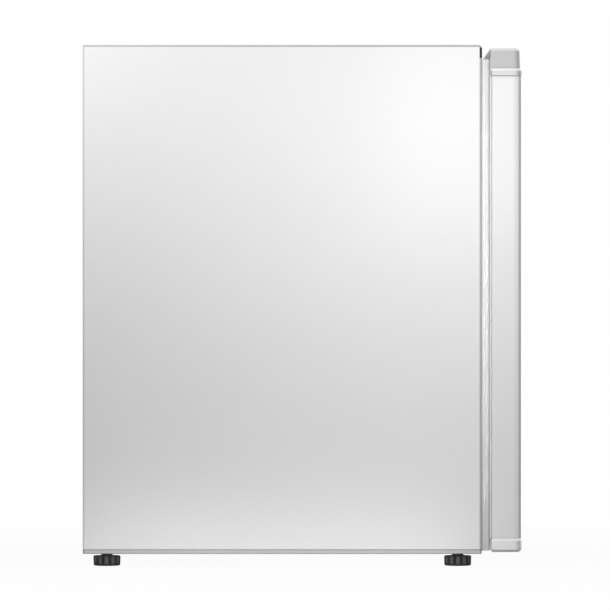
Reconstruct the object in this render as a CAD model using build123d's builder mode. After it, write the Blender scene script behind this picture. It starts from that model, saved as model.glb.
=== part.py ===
from build123d import *
import os

os.makedirs("parts", exist_ok=True)

# Mini fridge in millimetres: +Z is up, the door faces -Y, its hinge is on the +X side.
# The origin lies on the floor, under the middle of the closed fridge.

# Overall sizes
CABINET_WIDTH = 440.0
CABINET_DEPTH = 382.5
HEIGHT = 500.0  # floor to cabinet top
FLOOR_GAP = 12.0  # floor to base frame
GASKET_GAP = 8.0  # cabinet front to door liner
DOOR_DEPTH = 30.0  # door liner to steel front
RIM_PROUD = 0.8  # cap rims beyond the steel skin

# Thicknesses
SHEET = 0.6  # painted steel
PLATE = 1.6  # pressed steel carrier
LINER = 1.5  # formed plastic liner
WALL = 2.2  # moulded plastic

# Side counts of flat-sided sections
HEX = 6
OCTAGON = 8

# Clearances
RUN = 0.3  # between pieces that move past each other
FIT = 0.05  # radial, pin in its bearing
EASE = 0.2  # between pieces that are assembled and stay put

# Places that follow from the overall sizes
SIDE = CABINET_WIDTH / 2
BACK = (CABINET_DEPTH + GASKET_GAP + DOOR_DEPTH + RIM_PROUD) / 2
FRONT = BACK - CABINET_DEPTH
DOOR_BACK = FRONT - GASKET_GAP
DOOR_FRONT = DOOR_BACK - DOOR_DEPTH

# Outer wrap and base
BEND = 2.5
FRONT_FLANGE = 24.0
REAR_FLANGE = 12.0
REAR_SETBACK = 3.0  # rear panel's inner face ahead of the wrap's back edge
BASE_HEIGHT = 4.2
BASE_SHEET = 1.0
BASE_CORNER = 2.5
BASE_CHAMFER = 0.5
BASE_LEDGE = 48.0
PANEL_LIP = 24.0
BEAD_WIDTH = 18.0
BEAD_MARGIN = 80.0
BEAD_RISE = 1.8
BEAD_TAPER = 40.0
BEAD_SHARES = (-0.6, -0.2, 0.2, 0.6)  # of the half width
BASE_TOP = FLOOR_GAP + BASE_HEIGHT
REAR_FACE = BACK - REAR_SETBACK
FOAM_BACK = REAR_FACE - SHEET

# Compressor bay
BAY_TOP = 178.0
BAY_FLOOR_DEPTH = 155.0
BAY_TOP_DEPTH = 135.0

# Compartment
FOAM_SIDE = 30.0
FOAM_BACKWALL = 35.0
FOAM_FLOOR = 29.0
INNER_HALF = SIDE - FOAM_SIDE
INNER_BACK = BACK - FOAM_BACKWALL
INNER_FLOOR = BASE_TOP + FOAM_FLOOR
INNER_TOP = HEIGHT - FOAM_SIDE
HUMP_TOP = BAY_TOP + FOAM_FLOOR
HUMP_FLOOR_Y = BACK - BAY_FLOOR_DEPTH - FOAM_FLOOR
HUMP_TOP_Y = BACK - BAY_TOP_DEPTH - FOAM_FLOOR
LINER_RADIUS = 14.0
LINER_BEVEL = 8.0  # foam side of a rounded liner corner
LINER_LIP = 12.0
LEDGE_LEVELS = (250.0, 290.0)
LEDGE_REACH = 8.0
LEDGE_HEIGHT = 7.0
LEDGE_FRONT = FRONT + 62.0
LEDGE_BACK = INNER_BACK - LINER_RADIUS

# Ice box
ICE_WIDTH = 204.0
ICE_HEIGHT = 104.0
ICE_SHEET = 1.4
ICE_RADIUS = 10.0
ICE_DROP = 8.0  # below the ceiling
ICE_LEFT = -INNER_HALF + 18.0
ICE_FRONT = FRONT + 136.0
ICE_BACK = INNER_BACK - 9.0
ICE_X = ICE_LEFT + ICE_WIDTH / 2
ICE_RIGHT = ICE_LEFT + ICE_WIDTH
ICE_TOP = INNER_TOP - ICE_DROP
ICE_BOTTOM = ICE_TOP - ICE_HEIGHT
ICE_Z = ICE_BOTTOM + ICE_HEIGHT / 2
HANGER_WIDTH = 14.0
HANGER_INSET = 24.0
CHANNEL_WIDTH = 7.0
CHANNEL_RISE = 1.8
CHANNEL_TAPER = 20.0
CHANNEL_PITCH = 28.0
CHANNEL_MARGIN = 30.0
FRAME_DEPTH = 11.0
FRAME_BORDER = 9.0
FLAP_THICK = 3.0
FLAP_LIP = 9.0
FLAP_PIN = 2.5
FLAP_PIN_LENGTH = 4.5
EAR_WIDTH = 5.5
EAR_REACH = 10.0
FLAP_HALF = ICE_WIDTH / 2 - EAR_WIDTH - 3 * RUN
FRAME_FRONT = ICE_FRONT - FRAME_DEPTH
FLAP_AXIS_Y = FRAME_FRONT - EAR_REACH / 2
FLAP_AXIS_Z = ICE_TOP - EAR_REACH / 2

# Drip tray under the ice box
TRAY_DROP = 6.0
TRAY_DEPTH = 18.0
TRAY_RIM = 6.0
TRAY_SHEET = 1.8
RAIL_WALL = 2.0
TRAY_HALF = ICE_WIDTH / 2 - 22.0
TRAY_TOP = ICE_BOTTOM - TRAY_DROP

# Thermostat
STAT_REACH = 44.0  # out from the right wall
STAT_LENGTH = 104.0
STAT_HEIGHT = 58.0
STAT_BEVEL = 6.0
SWITCH_SIZE = 30.0
STAT_FRONT = FRONT + 100.0
STAT_Z = INNER_TOP - 56.0
STAT_LEFT = INNER_HALF - STAT_REACH
STAT_X = INNER_HALF - STAT_REACH / 2
KNOB_RADIUS = 17.0
KNOB_SIDES = 24
KNOB_DEPTH = 15.0
KNOB_SKIRT = 5.0
KNOB_BAR = 8.0
KNOB_CROWN = 3.0
SHAFT_RADIUS = 3.0
TUBE_THIN = 1.2
TUBE_CUT = 6.0
TUBE_DROP = 40.0
CLIP_WIDTH = 8.0
CLIP_SHEET = 1.0

# Wire shelf
SHELF_WIRE = 2.5
SHELF_ROD = 1.5
SHELF_RODS = 11
SHELF_CORNER = 14.0
SHELF_GAP = 3.0
SHELF_HALF = INNER_HALF - SHELF_GAP
SHELF_FRONT = LEDGE_FRONT + 8.0
SHELF_BACK = LEDGE_BACK - 4.0
SHELF_Z = LEDGE_LEVELS[0] + SHELF_WIRE + RUN

# Compressor and its circuit
COMP_X = 25.0
COMP_LENGTH = 150.0
COMP_WIDTH = 100.0
COMP_CORNER = 46.0
COMP_HEIGHT = 118.0
COMP_SHELL = 3.5
COMP_DOME = 26.0
COMP_SEAM = 2.5
SEAM_SHARE = 0.55  # seam height as a share of the can
COMP_Y = BACK - 82.0
MOUNT_X = 78.0
MOUNT_Y = 38.0
GROMMET_RADIUS = 9.0
GROMMET_HEIGHT = 12.0
CARRIER_HALF = SIDE - SHEET - 6.0
CARRIER_FRONT = BACK - 140.0
CARRIER_BACK = BACK - 32.0
CARRIER_TOP = BASE_TOP + PLATE
CARRIER_FLANGE = 10.0
COMP_BOTTOM = CARRIER_TOP + GROMMET_HEIGHT
RELAY_WIDTH = 52.0
RELAY_DEPTH = 22.0
RELAY_HEIGHT = 58.0
GLAND_RADIUS = 7.0
GLAND_BORE = 3.8
GLAND_LENGTH = 8.0
GLAND_SHARE = 0.3  # gland height as a share of the cover
PIPE_RADIUS = 3.2
PIPE_CUT = 9.0
PIPE_OUT = 26.0
DRIER_RADIUS = 9.0
ROUND_SIDES = 12
DRIER_LENGTH = 70.0
DRIER_DROP = 18.0
DRIER_X = -120.0
COIL_RADIUS = 2.4
COIL_PITCH = 50.0
COIL_RUNS = 5
COIL_CUT = 16.0
COIL_MARGIN = 60.0
COIL_LOW = BAY_TOP + 60.0

# Door
SKIN_RADIUS = 8.0
DOOR_BACK_BEVEL = 1.6
SKIN_RETURN = 12.0
SKIN_FOLD = 1.5
CAP_TOP_GAP = 3.1  # door top below the cabinet top
CAP_TOP_BLOCK = 19.4
CAP_RIM = 7.4
CAP_BOTTOM_GAP = 1.7  # bottom cap above the base frame's underside
CAP_BOTTOM_HEIGHT = 13.0
CAP_LAP = 5.4  # rim over the skin
CAP_BEVEL = 2.4
RIM_BEVEL = 0.7
RIM_SLOPE = 2.2  # height of the bevel that faces up
BLOCK_INSET = 0.8
BLOCK_TAPER = 2.0
DOOR_TOP = HEIGHT - CAP_TOP_GAP
RIM_TOP = DOOR_TOP - CAP_TOP_BLOCK
SKIN_TOP = RIM_TOP - CAP_RIM + CAP_LAP
DOOR_BOTTOM = FLOOR_GAP + CAP_BOTTOM_GAP
CAP_BOTTOM_TOP = DOOR_BOTTOM + CAP_BOTTOM_HEIGHT
SKIN_BOTTOM = CAP_BOTTOM_TOP - CAP_LAP
GRIP_WIDTH = 150.0
GRIP_BREADTH = 16.0
GRIP_DEPTH = 14.0
GRIP_RADIUS = 6.0
GRIP_Y = (DOOR_FRONT + DOOR_BACK) / 2
LINER_INSET = 1.2
TONGUE_HALF = SIDE - 8.0
TONGUE_TOP = DOOR_TOP - 8.0
TONGUE_BOTTOM = DOOR_BOTTOM + 3.3
DYKE_HALF = INNER_HALF - 7.0
DYKE_WIDTH = 17.0
DYKE_RISE = 24.0
DYKE_PANEL = 4.0
DYKE_TOP = INNER_TOP - 6.0
DYKE_BOTTOM = INNER_FLOOR + 7.0
DYKE_TAPER = 5.0

# Gasket
GASKET_OUT = 12.0  # outer edge inside the cabinet's side
GASKET_WIDTH = 17.0
GASKET_HEAD = 12.0
GASKET_TOP = HEIGHT - 13.0
GASKET_BOTTOM = DOOR_BOTTOM + 0.6
GASKET_BASE = 1.6
GASKET_FOLD = 2.0
FOLD_LOW = 2.3
FOLD_MID = 3.1
FOLD_HIGH = 3.7
HEAD_LOW = 4.2
GASKET_FREE = GASKET_GAP - RUN
MAGNET_WIDTH = 7.0
MAGNET_THICK = 2.0
MAGNET_SKIN = 0.7

# Hinges
HINGE_INSET = 11.0
HINGE_FORWARD = 14.0
PIN_RADIUS = 3.5
PIN_SHORT = 1.0  # pin end short of its bush
BUSH_HALF = 5.0
BUSH_FLANGE = 8.0
BUSH_LENGTH = 12.0
HINGE_PLATE = 2.5
HINGE_X = SIDE - HINGE_INSET
HINGE_Y = DOOR_FRONT + HINGE_FORWARD
HINGE_ARM = 9.0
TOP_PLATE_LENGTH = 58.0
TOP_PLATE_FRONT = FRONT + 8.0
TOP_PLATE_BACK = FRONT + 48.0
COVER_HEIGHT = 8.0
COVER_WALL = 1.6
COVER_BEVEL = 2.0
PAD_TOP = BASE_TOP - BASE_SHEET
PAD_THICK = 2.2
PAD_BACK = FRONT + 46.0
PAD_LENGTH = 78.0
PAD_STEP_BACK = 12.0
PAD_STEP_FRONT = 5.0
ARM_TOP = DOOR_BOTTOM - 1.0
TAPPING = 3.0
TAP_WIDTH = 20.0

# Door bins
BIN_HALF = DYKE_HALF - DYKE_WIDTH - 8.0
BIN_WALL = 2.0
BIN_BACK = DOOR_BACK + DYKE_PANEL + RUN
BIN_RADIUS = 10.0
BIN_FRONT_SHARE = 0.72
UPPER_BIN_Z = 296.0
UPPER_BIN_DEPTH = 50.0
UPPER_BIN_HEIGHT = 42.0
LOWER_BIN_Z = 72.0
LOWER_BIN_DEPTH = 72.0
LOWER_BIN_HEIGHT = 66.0
LUG_WIDTH = 8.0
LUG_HEIGHT = 10.0
LUG_REACH = 6.5
LUG_ROOT = 1.2
LUG_RISE = 14.0  # lug underside above the bin floor
LUG_Y = DOOR_BACK + DYKE_PANEL + 9.0
HOOK_WALL = 2.5

# Feet
FOOT_INSET_X = 18.0
FOOT_INSET_Y = 22.5
FOOT_RADIUS = 13.5
FOOT_THICK = 9.6
FOOT_GROOVES = 12
GROOVE_RADIUS = 1.4
GROOVE_SIDES = 4
NECK_RADIUS = 5.5
NECK_TOP = PAD_TOP - PAD_THICK - 0.6
STUD_RADIUS = 4.0
STUD_SIDES = 12
STUD_TOP = BASE_TOP + 22.0
STUD_SEAT = 3.0
SOCKET_RADIUS = 8.0
SOCKET_HEIGHT = 24.0
FEET = {
    "front_left": (-SIDE + FOOT_INSET_X, FRONT + FOOT_INSET_Y),
    "front_right": (SIDE - FOOT_INSET_X, FRONT + FOOT_INSET_Y),
    "rear_left": (-SIDE + FOOT_INSET_X, BACK - FOOT_INSET_Y),
    "rear_right": (SIDE - FOOT_INSET_X, BACK - FOOT_INSET_Y),
}


def facing_front(y):
    """Plane at depth y: sketch x is +X, sketch y is +Z, extrusion runs forward."""
    return Plane(origin=(0, y, 0), x_dir=(1, 0, 0), z_dir=(0, -1, 0))


def across(x):
    """Plane at width x: sketch x is +Y, sketch y is +Z, extrusion runs to +X."""
    return Plane.YZ.offset(x)


def level(z):
    """Plane at height z: extrusion runs up."""
    return Plane.XY.offset(z)


def save(builder, name):
    """Label a finished piece and write its file."""
    builder.part.label = name
    export_step(builder.part, f"parts/{name}.step")


def slab(x0, x1, y0, y1, z0, z1, mode=Mode.ADD):
    """Plain block between two corners, for use inside a part."""
    with Locations(((x0 + x1) / 2, (y0 + y1) / 2, (z0 + z1) / 2)):
        Box(x1 - x0, y1 - y0, z1 - z0, mode=mode)


def rod(x, y, z, radius, height, mode=Mode.ADD):
    """Upright cylinder from height z, for use inside a part."""
    with Locations((x, y, z)):
        Cylinder(radius, height, align=(Align.CENTER, Align.CENTER, Align.MIN), mode=mode)


def compartment(grow, rounded):
    """Solid of the fresh-food space, enlarged by grow; rounded inside, bevelled on the foam side."""
    with BuildPart() as body:
        with BuildSketch(across(-INNER_HALF - grow)):
            with BuildLine():
                Polyline(
                    (FRONT + SHEET, INNER_FLOOR - grow),
                    (HUMP_FLOOR_Y + grow, INNER_FLOOR - grow),
                    (HUMP_TOP_Y + grow, HUMP_TOP - grow),
                    (INNER_BACK + grow, HUMP_TOP - grow),
                    (INNER_BACK + grow, INNER_TOP + grow),
                    (FRONT + SHEET, INNER_TOP + grow),
                    close=True,
                )
            make_face()
        extrude(amount=2 * (INNER_HALF + grow))
        ends = body.faces().filter_by(Axis.X)
        rim = ends.edges().filter_by(Axis.Y)
        if rounded:
            fillet(rim, LINER_RADIUS)
        else:
            chamfer(rim, LINER_BEVEL)
    return body.part


def door_plan(grow, back=DOOR_BACK, bevel=DOOR_BACK_BEVEL):
    """Door outline seen from above, enlarged by grow at front and sides."""
    with BuildSketch() as plan:
        front = DOOR_FRONT - grow
        with Locations((0, (front + back) / 2)):
            Rectangle(CABINET_WIDTH + 2 * grow, back - front)
        fillet(plan.vertices().group_by(Axis.Y)[0], SKIN_RADIUS + grow)
        if bevel:
            chamfer(plan.vertices().group_by(Axis.Y)[-1], bevel)
    return plan.sketch


def dyke(grow, rounded, start):
    """Raised ring of the door liner with its sunk middle, thinned by grow, from depth start."""
    middle = (DYKE_TOP + DYKE_BOTTOM) / 2
    tall = DYKE_TOP - DYKE_BOTTOM
    floor = DOOR_BACK + DYKE_PANEL - grow
    crest = DOOR_BACK + DYKE_RISE - grow
    with BuildPart() as body:
        with BuildSketch(facing_front(start)) as outline:
            with Locations((0, middle)):
                Rectangle(2 * (DYKE_HALF - grow), tall - 2 * grow)
            corner(outline, rounded)
        extrude(amount=start - crest, taper=DYKE_TAPER)
        with BuildSketch(facing_front(floor)) as pocket:
            with Locations((0, middle)):
                Rectangle(2 * (DYKE_HALF - DYKE_WIDTH + grow), tall - 2 * (DYKE_WIDTH - grow))
            corner(pocket, rounded)
        extrude(amount=floor - crest, taper=-DYKE_TAPER, mode=Mode.SUBTRACT)
    return body.part


def corner(sketch, rounded):
    """Round the corners of a seen outline, bevel those of a hidden one."""
    if rounded:
        fillet(sketch.vertices(), LINER_RADIUS)
    else:
        chamfer(sketch.vertices(), LINER_BEVEL)


def pipe(points, radius, cut):
    """Six-sided tube along straight runs, each corner made by two mitres cut back from it."""
    stations = [Vector(*point) for point in points]
    route = [stations[0]]
    for before, here, after in zip(stations, stations[1:], stations[2:]):
        route.append(here + (before - here).normalized() * cut)
        route.append(here + (after - here).normalized() * cut)
    route.append(stations[-1])
    with BuildPart() as tube:
        with BuildLine() as path:
            Polyline(*route)
        with BuildSketch(Plane(origin=path.line @ 0, z_dir=path.line % 0)):
            RegularPolygon(radius, HEX, major_radius=False)
        sweep(path=path.line, transition=Transition.RIGHT)
    return tube.part


# Outer wrap: one sheet folded over left side, top and right side, flanged at front and back
with BuildPart() as outer_wrap:
    with BuildSketch(facing_front(BACK)):
        with Locations((0, (BASE_TOP + HEIGHT) / 2)):
            Rectangle(CABINET_WIDTH, HEIGHT - BASE_TOP)
    extrude(amount=CABINET_DEPTH)
    front_edges = outer_wrap.faces().sort_by(Axis.Y)[0].edges().sort_by(Axis.Z)[1:]
    top_edges = outer_wrap.faces().sort_by(Axis.Z)[-1].edges().filter_by(Axis.Y)
    fillet(front_edges + top_edges, BEND)
    open_faces = [outer_wrap.faces().sort_by(Axis.Z)[0], outer_wrap.faces().sort_by(Axis.Y)[-1]]
    offset(amount=-SHEET, openings=open_faces)
    opening = SIDE - FRONT_FLANGE
    slab(-opening, opening, FRONT, FRONT + BEND, BASE_TOP, HEIGHT - FRONT_FLANGE, Mode.SUBTRACT)
    inside = SIDE - SHEET
    inside_top = HEIGHT - SHEET
    slab(-inside, REAR_FLANGE - inside, FOAM_BACK, REAR_FACE, BASE_TOP, inside_top)
    slab(inside - REAR_FLANGE, inside, FOAM_BACK, REAR_FACE, BASE_TOP, inside_top)
    slab(-inside, inside, FOAM_BACK, REAR_FACE, inside_top - REAR_FLANGE, inside_top)
save(outer_wrap, "outer_wrap")

# Base frame: shallow inverted tray that closes the cabinet's underside
with BuildPart() as base_frame:
    centre_y = (FRONT + BACK) / 2
    slab(-SIDE, SIDE, FRONT, BACK, FLOOR_GAP, BASE_TOP)
    fillet(base_frame.edges().filter_by(Axis.Z), BASE_CORNER)
    chamfer(base_frame.faces().filter_by(Axis.Z).edges(), BASE_CHAMFER)
    hollow_x = SIDE - BASE_SHEET
    hollow_top = BASE_TOP - BASE_SHEET
    slab(-hollow_x, hollow_x, FRONT + BASE_SHEET, BACK - BASE_SHEET, FLOOR_GAP, hollow_top, Mode.SUBTRACT)
    with BuildSketch(level(BASE_TOP)):
        with Locations((0, centre_y)):
            Rectangle(CABINET_WIDTH - 2 * BASE_LEDGE, CABINET_DEPTH - 2 * BASE_LEDGE)
        with Locations(*FEET.values()):
            RegularPolygon(STUD_RADIUS + RUN, HEX, major_radius=False)
    extrude(amount=-BASE_SHEET, mode=Mode.SUBTRACT)
    notch_left = HINGE_X - HINGE_ARM - EASE
    notch_right = HINGE_X + HINGE_ARM + EASE
    notch_back = FRONT + BASE_SHEET
    slab(notch_left, notch_right, FRONT, notch_back, FLOOR_GAP, ARM_TOP + EASE, Mode.SUBTRACT)
save(base_frame, "base_frame")

# Bottom panel: stepped sheet under the foam, rising over the compressor bay
with BuildPart() as bottom_panel:
    with BuildSketch(Plane.YZ):
        with BuildLine():
            Polyline(
                (FRONT, BASE_TOP + PANEL_LIP),
                (FRONT, BASE_TOP),
                (BACK - BAY_FLOOR_DEPTH, BASE_TOP),
                (BACK - BAY_TOP_DEPTH, BAY_TOP),
                (FOAM_BACK, BAY_TOP),
            )
            offset(amount=SHEET, kind=Kind.INTERSECTION, side=Side.LEFT)
        make_face()
    extrude(amount=SIDE - SHEET, both=True)
    for x0, x1 in ((-SIDE, FRONT_FLANGE - SIDE), (SIDE - FRONT_FLANGE, SIDE)):
        slab(x0, x1, FRONT, FRONT + BEND, BASE_TOP, BASE_TOP + PANEL_LIP, Mode.SUBTRACT)
    with BuildSketch(level(BASE_TOP)):
        with Locations(FEET["front_left"], FEET["front_right"]):
            RegularPolygon(SOCKET_RADIUS, HEX)
    extrude(amount=SHEET, mode=Mode.SUBTRACT)
save(bottom_panel, "bottom_panel")

# Rear panel with pressed stiffening beads
with BuildPart() as rear_panel:
    panel_half = SIDE - SHEET - EASE
    slab(-panel_half, panel_half, REAR_FACE, REAR_FACE + SHEET, BAY_TOP, HEIGHT - SHEET - EASE)
    chamfer(rear_panel.edges().filter_by(Axis.Y).sort_by(Axis.Z)[-2:], BEND)
    bead_z = (BAY_TOP + HEIGHT) / 2
    with BuildSketch(facing_front(REAR_FACE + SHEET)):
        with Locations(*[(share * SIDE, bead_z) for share in BEAD_SHARES]):
            Rectangle(BEAD_WIDTH, HEIGHT - BAY_TOP - BEAD_MARGIN)
    extrude(amount=-BEAD_RISE, taper=BEAD_TAPER)
save(rear_panel, "rear_panel")

# Inner liner: one formed plastic tub with shelf ledges and a front lip behind the steel flange
tub_outside = compartment(LINER, False)
tub_inside = compartment(0.0, True)
with BuildPart() as inner_liner:
    add(tub_outside)
    lip = INNER_HALF + LINER_LIP
    lip_back = FRONT + SHEET + LINER
    slab(-lip, lip, FRONT + SHEET, lip_back, INNER_FLOOR - LINER_LIP, INNER_TOP + LINER_LIP)
    add(tub_inside, mode=Mode.SUBTRACT)
    for side in (-1, 1):
        for top in LEDGE_LEVELS:
            with BuildSketch(facing_front(LEDGE_BACK)):
                with BuildLine():
                    Polyline(
                        (side * INNER_HALF, top),
                        (side * (INNER_HALF - LEDGE_REACH), top),
                        (side * (INNER_HALF - LEDGE_REACH), top - LEDGE_HEIGHT / 2),
                        (side * INNER_HALF, top - LEDGE_HEIGHT),
                        close=True,
                    )
                make_face()
            extrude(amount=LEDGE_BACK - LEDGE_FRONT)
save(inner_liner, "inner_liner")

# Tapping plates that take the hinge screws behind the sheet
with BuildPart() as hinge_tapping_plates:
    tap_left = HINGE_X - TOP_PLATE_LENGTH + HINGE_ARM
    tap_top = HEIGHT - SHEET
    tap_low = BASE_TOP + SHEET
    slab(tap_left, HINGE_X, TOP_PLATE_BACK - TAP_WIDTH, TOP_PLATE_BACK, tap_top - TAPPING, tap_top)
    low_left = HINGE_X - PAD_LENGTH
    low_right = SIDE - FOOT_INSET_X - SOCKET_RADIUS - EASE
    slab(low_left, low_right, PAD_BACK - TAP_WIDTH, PAD_BACK, tap_low, tap_low + TAPPING)
save(hinge_tapping_plates, "hinge_tapping_plates")

# Foot sockets: threaded six-sided sleeves on the base frame
with BuildPart() as foot_sockets:
    with BuildSketch(level(BASE_TOP)):
        with Locations(*FEET.values()):
            RegularPolygon(SOCKET_RADIUS, HEX)
            RegularPolygon(STUD_RADIUS + RUN, STUD_SIDES, mode=Mode.SUBTRACT)
    extrude(amount=SOCKET_HEIGHT)
save(foot_sockets, "foot_sockets")

# Hot-wall condenser: serpentine tube laid against the inside of the left wall
coil_x = -SIDE + SHEET + COIL_RADIUS
coil_front = FRONT + COIL_MARGIN
coil_back = FOAM_BACK - COIL_MARGIN
coil_points = []
for run in range(COIL_RUNS):
    run_z = COIL_LOW + run * COIL_PITCH
    run_ends = (coil_back, coil_front) if run % 2 == 0 else (coil_front, coil_back)
    coil_points += [(coil_x, y, run_z) for y in run_ends]
coil_form = pipe(coil_points, COIL_RADIUS, COIL_CUT)
with BuildPart() as condenser_coil:
    add(coil_form)
save(condenser_coil, "condenser_coil")

# Foam that fills the walls round the liner
with BuildPart() as foam_insulation:
    slab(-inside, inside, FRONT + SHEET, FOAM_BACK, BASE_TOP, inside_top)
    foam_front = foam_insulation.faces().sort_by(Axis.Y)[0].edges().sort_by(Axis.Z)[1:]
    foam_top = foam_insulation.faces().sort_by(Axis.Z)[-1].edges().filter_by(Axis.Y)
    chamfer(foam_front + foam_top, BEND)
    with BuildSketch(across(-SIDE)):
        with BuildLine():
            Polyline(
                (BACK - BAY_FLOOR_DEPTH, BASE_TOP),
                (BACK - BAY_TOP_DEPTH, BAY_TOP),
                (BACK, BAY_TOP),
                (BACK, BASE_TOP),
                close=True,
            )
        make_face()
    extrude(amount=CABINET_WIDTH, mode=Mode.SUBTRACT)
    add(bottom_panel.part, mode=Mode.SUBTRACT)
    add(tub_outside, mode=Mode.SUBTRACT)
    slab(-lip, lip, FRONT, lip_back, INNER_FLOOR - LINER_LIP, INNER_TOP + LINER_LIP, Mode.SUBTRACT)
    add(hinge_tapping_plates.part, mode=Mode.SUBTRACT)
    with BuildSketch(level(BASE_TOP)):
        with Locations(FEET["front_left"], FEET["front_right"]):
            RegularPolygon(SOCKET_RADIUS, HEX)
    extrude(amount=SOCKET_HEIGHT + EASE, mode=Mode.SUBTRACT)
    tube = 2 * COIL_RADIUS + EASE
    coil_top = COIL_LOW + (COIL_RUNS - 1) * COIL_PITCH + tube
    coil_room = tube - inside
    slab(-SIDE, coil_room, coil_front - tube, coil_back + tube, COIL_LOW - tube, coil_top, Mode.SUBTRACT)
save(foam_insulation, "foam_insulation")

# Evaporator: bent aluminium box with raised refrigerant channels on its right side and underside
with BuildPart() as evaporator_box:
    with BuildSketch(facing_front(ICE_BACK)):
        with Locations((ICE_X, ICE_Z)):
            RectangleRounded(ICE_WIDTH, ICE_HEIGHT, ICE_RADIUS)
    extrude(amount=ICE_BACK - ICE_FRONT)
    offset(amount=-ICE_SHEET, openings=evaporator_box.faces().sort_by(Axis.Y)[0])
    channel_front = ICE_FRONT + CHANNEL_MARGIN
    channel_back = ICE_BACK - CHANNEL_MARGIN
    with BuildSketch(across(ICE_RIGHT)):
        rows = [ICE_Z + step * CHANNEL_PITCH for step in (-1, 0, 1)]
        with Locations(*[((channel_front + channel_back) / 2, z) for z in rows]):
            Rectangle(channel_back - channel_front, CHANNEL_WIDTH)
        with Locations((channel_back, (rows[0] + rows[1]) / 2), (channel_front, (rows[1] + rows[2]) / 2)):
            Rectangle(CHANNEL_WIDTH, CHANNEL_PITCH + CHANNEL_WIDTH)
    extrude(amount=CHANNEL_RISE, taper=CHANNEL_TAPER)
save(evaporator_box, "evaporator_box")

# Hangers that carry the evaporator under the ceiling
with BuildPart() as evaporator_hangers:
    for x in (ICE_LEFT + HANGER_INSET, ICE_RIGHT - HANGER_INSET):
        for y in (ICE_FRONT + HANGER_INSET, ICE_BACK - HANGER_INSET):
            half = HANGER_WIDTH / 2
            slab(x - half, x + half, y - half, y + half, ICE_TOP, INNER_TOP)
save(evaporator_hangers, "evaporator_hangers")

# Ice-box frame: moulded surround hung from the ceiling, with two ears for the flap
with BuildPart() as icebox_frame:
    slab(ICE_LEFT, ICE_RIGHT, FRAME_FRONT, ICE_FRONT, ICE_BOTTOM, INNER_TOP)
    with BuildSketch(facing_front(ICE_FRONT)):
        with Locations((ICE_X, ICE_Z)):
            Rectangle(ICE_WIDTH - 2 * FRAME_BORDER, ICE_HEIGHT - 2 * FRAME_BORDER)
    extrude(amount=FRAME_DEPTH, mode=Mode.SUBTRACT)
    for x0, x1 in ((ICE_LEFT, ICE_LEFT + EAR_WIDTH), (ICE_RIGHT - EAR_WIDTH, ICE_RIGHT)):
        slab(x0, x1, FRAME_FRONT - EAR_REACH, FRAME_FRONT, ICE_TOP - EAR_REACH, ICE_TOP)
    with BuildSketch(across(ICE_LEFT)):
        with Locations((FLAP_AXIS_Y, FLAP_AXIS_Z)):
            Circle(FLAP_PIN + FIT)
    extrude(amount=ICE_WIDTH, mode=Mode.SUBTRACT)
save(icebox_frame, "icebox_frame")

# Ice-box flap: moulded door with pivot pins and a finger lip
with BuildPart() as icebox_flap:
    flap_back = FRAME_FRONT - RUN
    flap_front = flap_back - FLAP_THICK
    flap_low = ICE_BOTTOM + RUN
    flap_left = ICE_X - FLAP_HALF
    flap_right = ICE_X + FLAP_HALF
    slab(flap_left, flap_right, flap_front, flap_back, flap_low, FLAP_AXIS_Z)
    slab(flap_left, flap_right, flap_front - FLAP_LIP, flap_front, flap_low, flap_low + FLAP_THICK)
    with BuildSketch(across(flap_left)):
        with Locations((FLAP_AXIS_Y, FLAP_AXIS_Z)):
            Circle(EAR_REACH / 2 - RUN)
    extrude(amount=2 * FLAP_HALF)
    with BuildSketch(across(flap_left - FLAP_PIN_LENGTH)):
        with Locations((FLAP_AXIS_Y, FLAP_AXIS_Z)):
            Circle(FLAP_PIN)
    extrude(amount=2 * (FLAP_HALF + FLAP_PIN_LENGTH))
save(icebox_flap, "icebox_flap")

# Rails under the evaporator for the drip tray
with BuildPart() as tray_rails:
    ledge_top = TRAY_TOP - TRAY_SHEET - RUN
    for side in (-1, 1):
        outer = ICE_X + side * (TRAY_HALF + TRAY_RIM + RUN + RAIL_WALL)
        inner = ICE_X + side * (TRAY_HALF + TRAY_RIM + RUN)
        tip = ICE_X + side * (TRAY_HALF + RUN)
        with BuildSketch(facing_front(ICE_BACK)):
            with BuildLine():
                Polyline(
                    (outer, ICE_BOTTOM),
                    (inner, ICE_BOTTOM),
                    (inner, ledge_top),
                    (tip, ledge_top),
                    (tip, ledge_top - RAIL_WALL),
                    (outer, ledge_top - RAIL_WALL),
                    close=True,
                )
            make_face()
        extrude(amount=ICE_BACK - ICE_FRONT)
save(tray_rails, "tray_rails")

# Drip tray: shallow moulded tray whose rims ride on the rails
with BuildPart() as drip_tray:
    tray_left = ICE_X - TRAY_HALF
    tray_right = ICE_X + TRAY_HALF
    tray_low = TRAY_TOP - TRAY_DEPTH
    slab(tray_left, tray_right, FRAME_FRONT, ICE_BACK, tray_low, TRAY_TOP)
    offset(amount=-TRAY_SHEET, openings=drip_tray.faces().sort_by(Axis.Z)[-1])
    slab(tray_left - TRAY_RIM, tray_left, ICE_FRONT, ICE_BACK, TRAY_TOP - TRAY_SHEET, TRAY_TOP)
    slab(tray_right, tray_right + TRAY_RIM, ICE_FRONT, ICE_BACK, TRAY_TOP - TRAY_SHEET, TRAY_TOP)
    lip_front = FRAME_FRONT - TRAY_RIM
    slab(tray_left, tray_right, lip_front, FRAME_FRONT, TRAY_TOP - TRAY_SHEET, TRAY_TOP)
save(drip_tray, "drip_tray")

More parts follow.
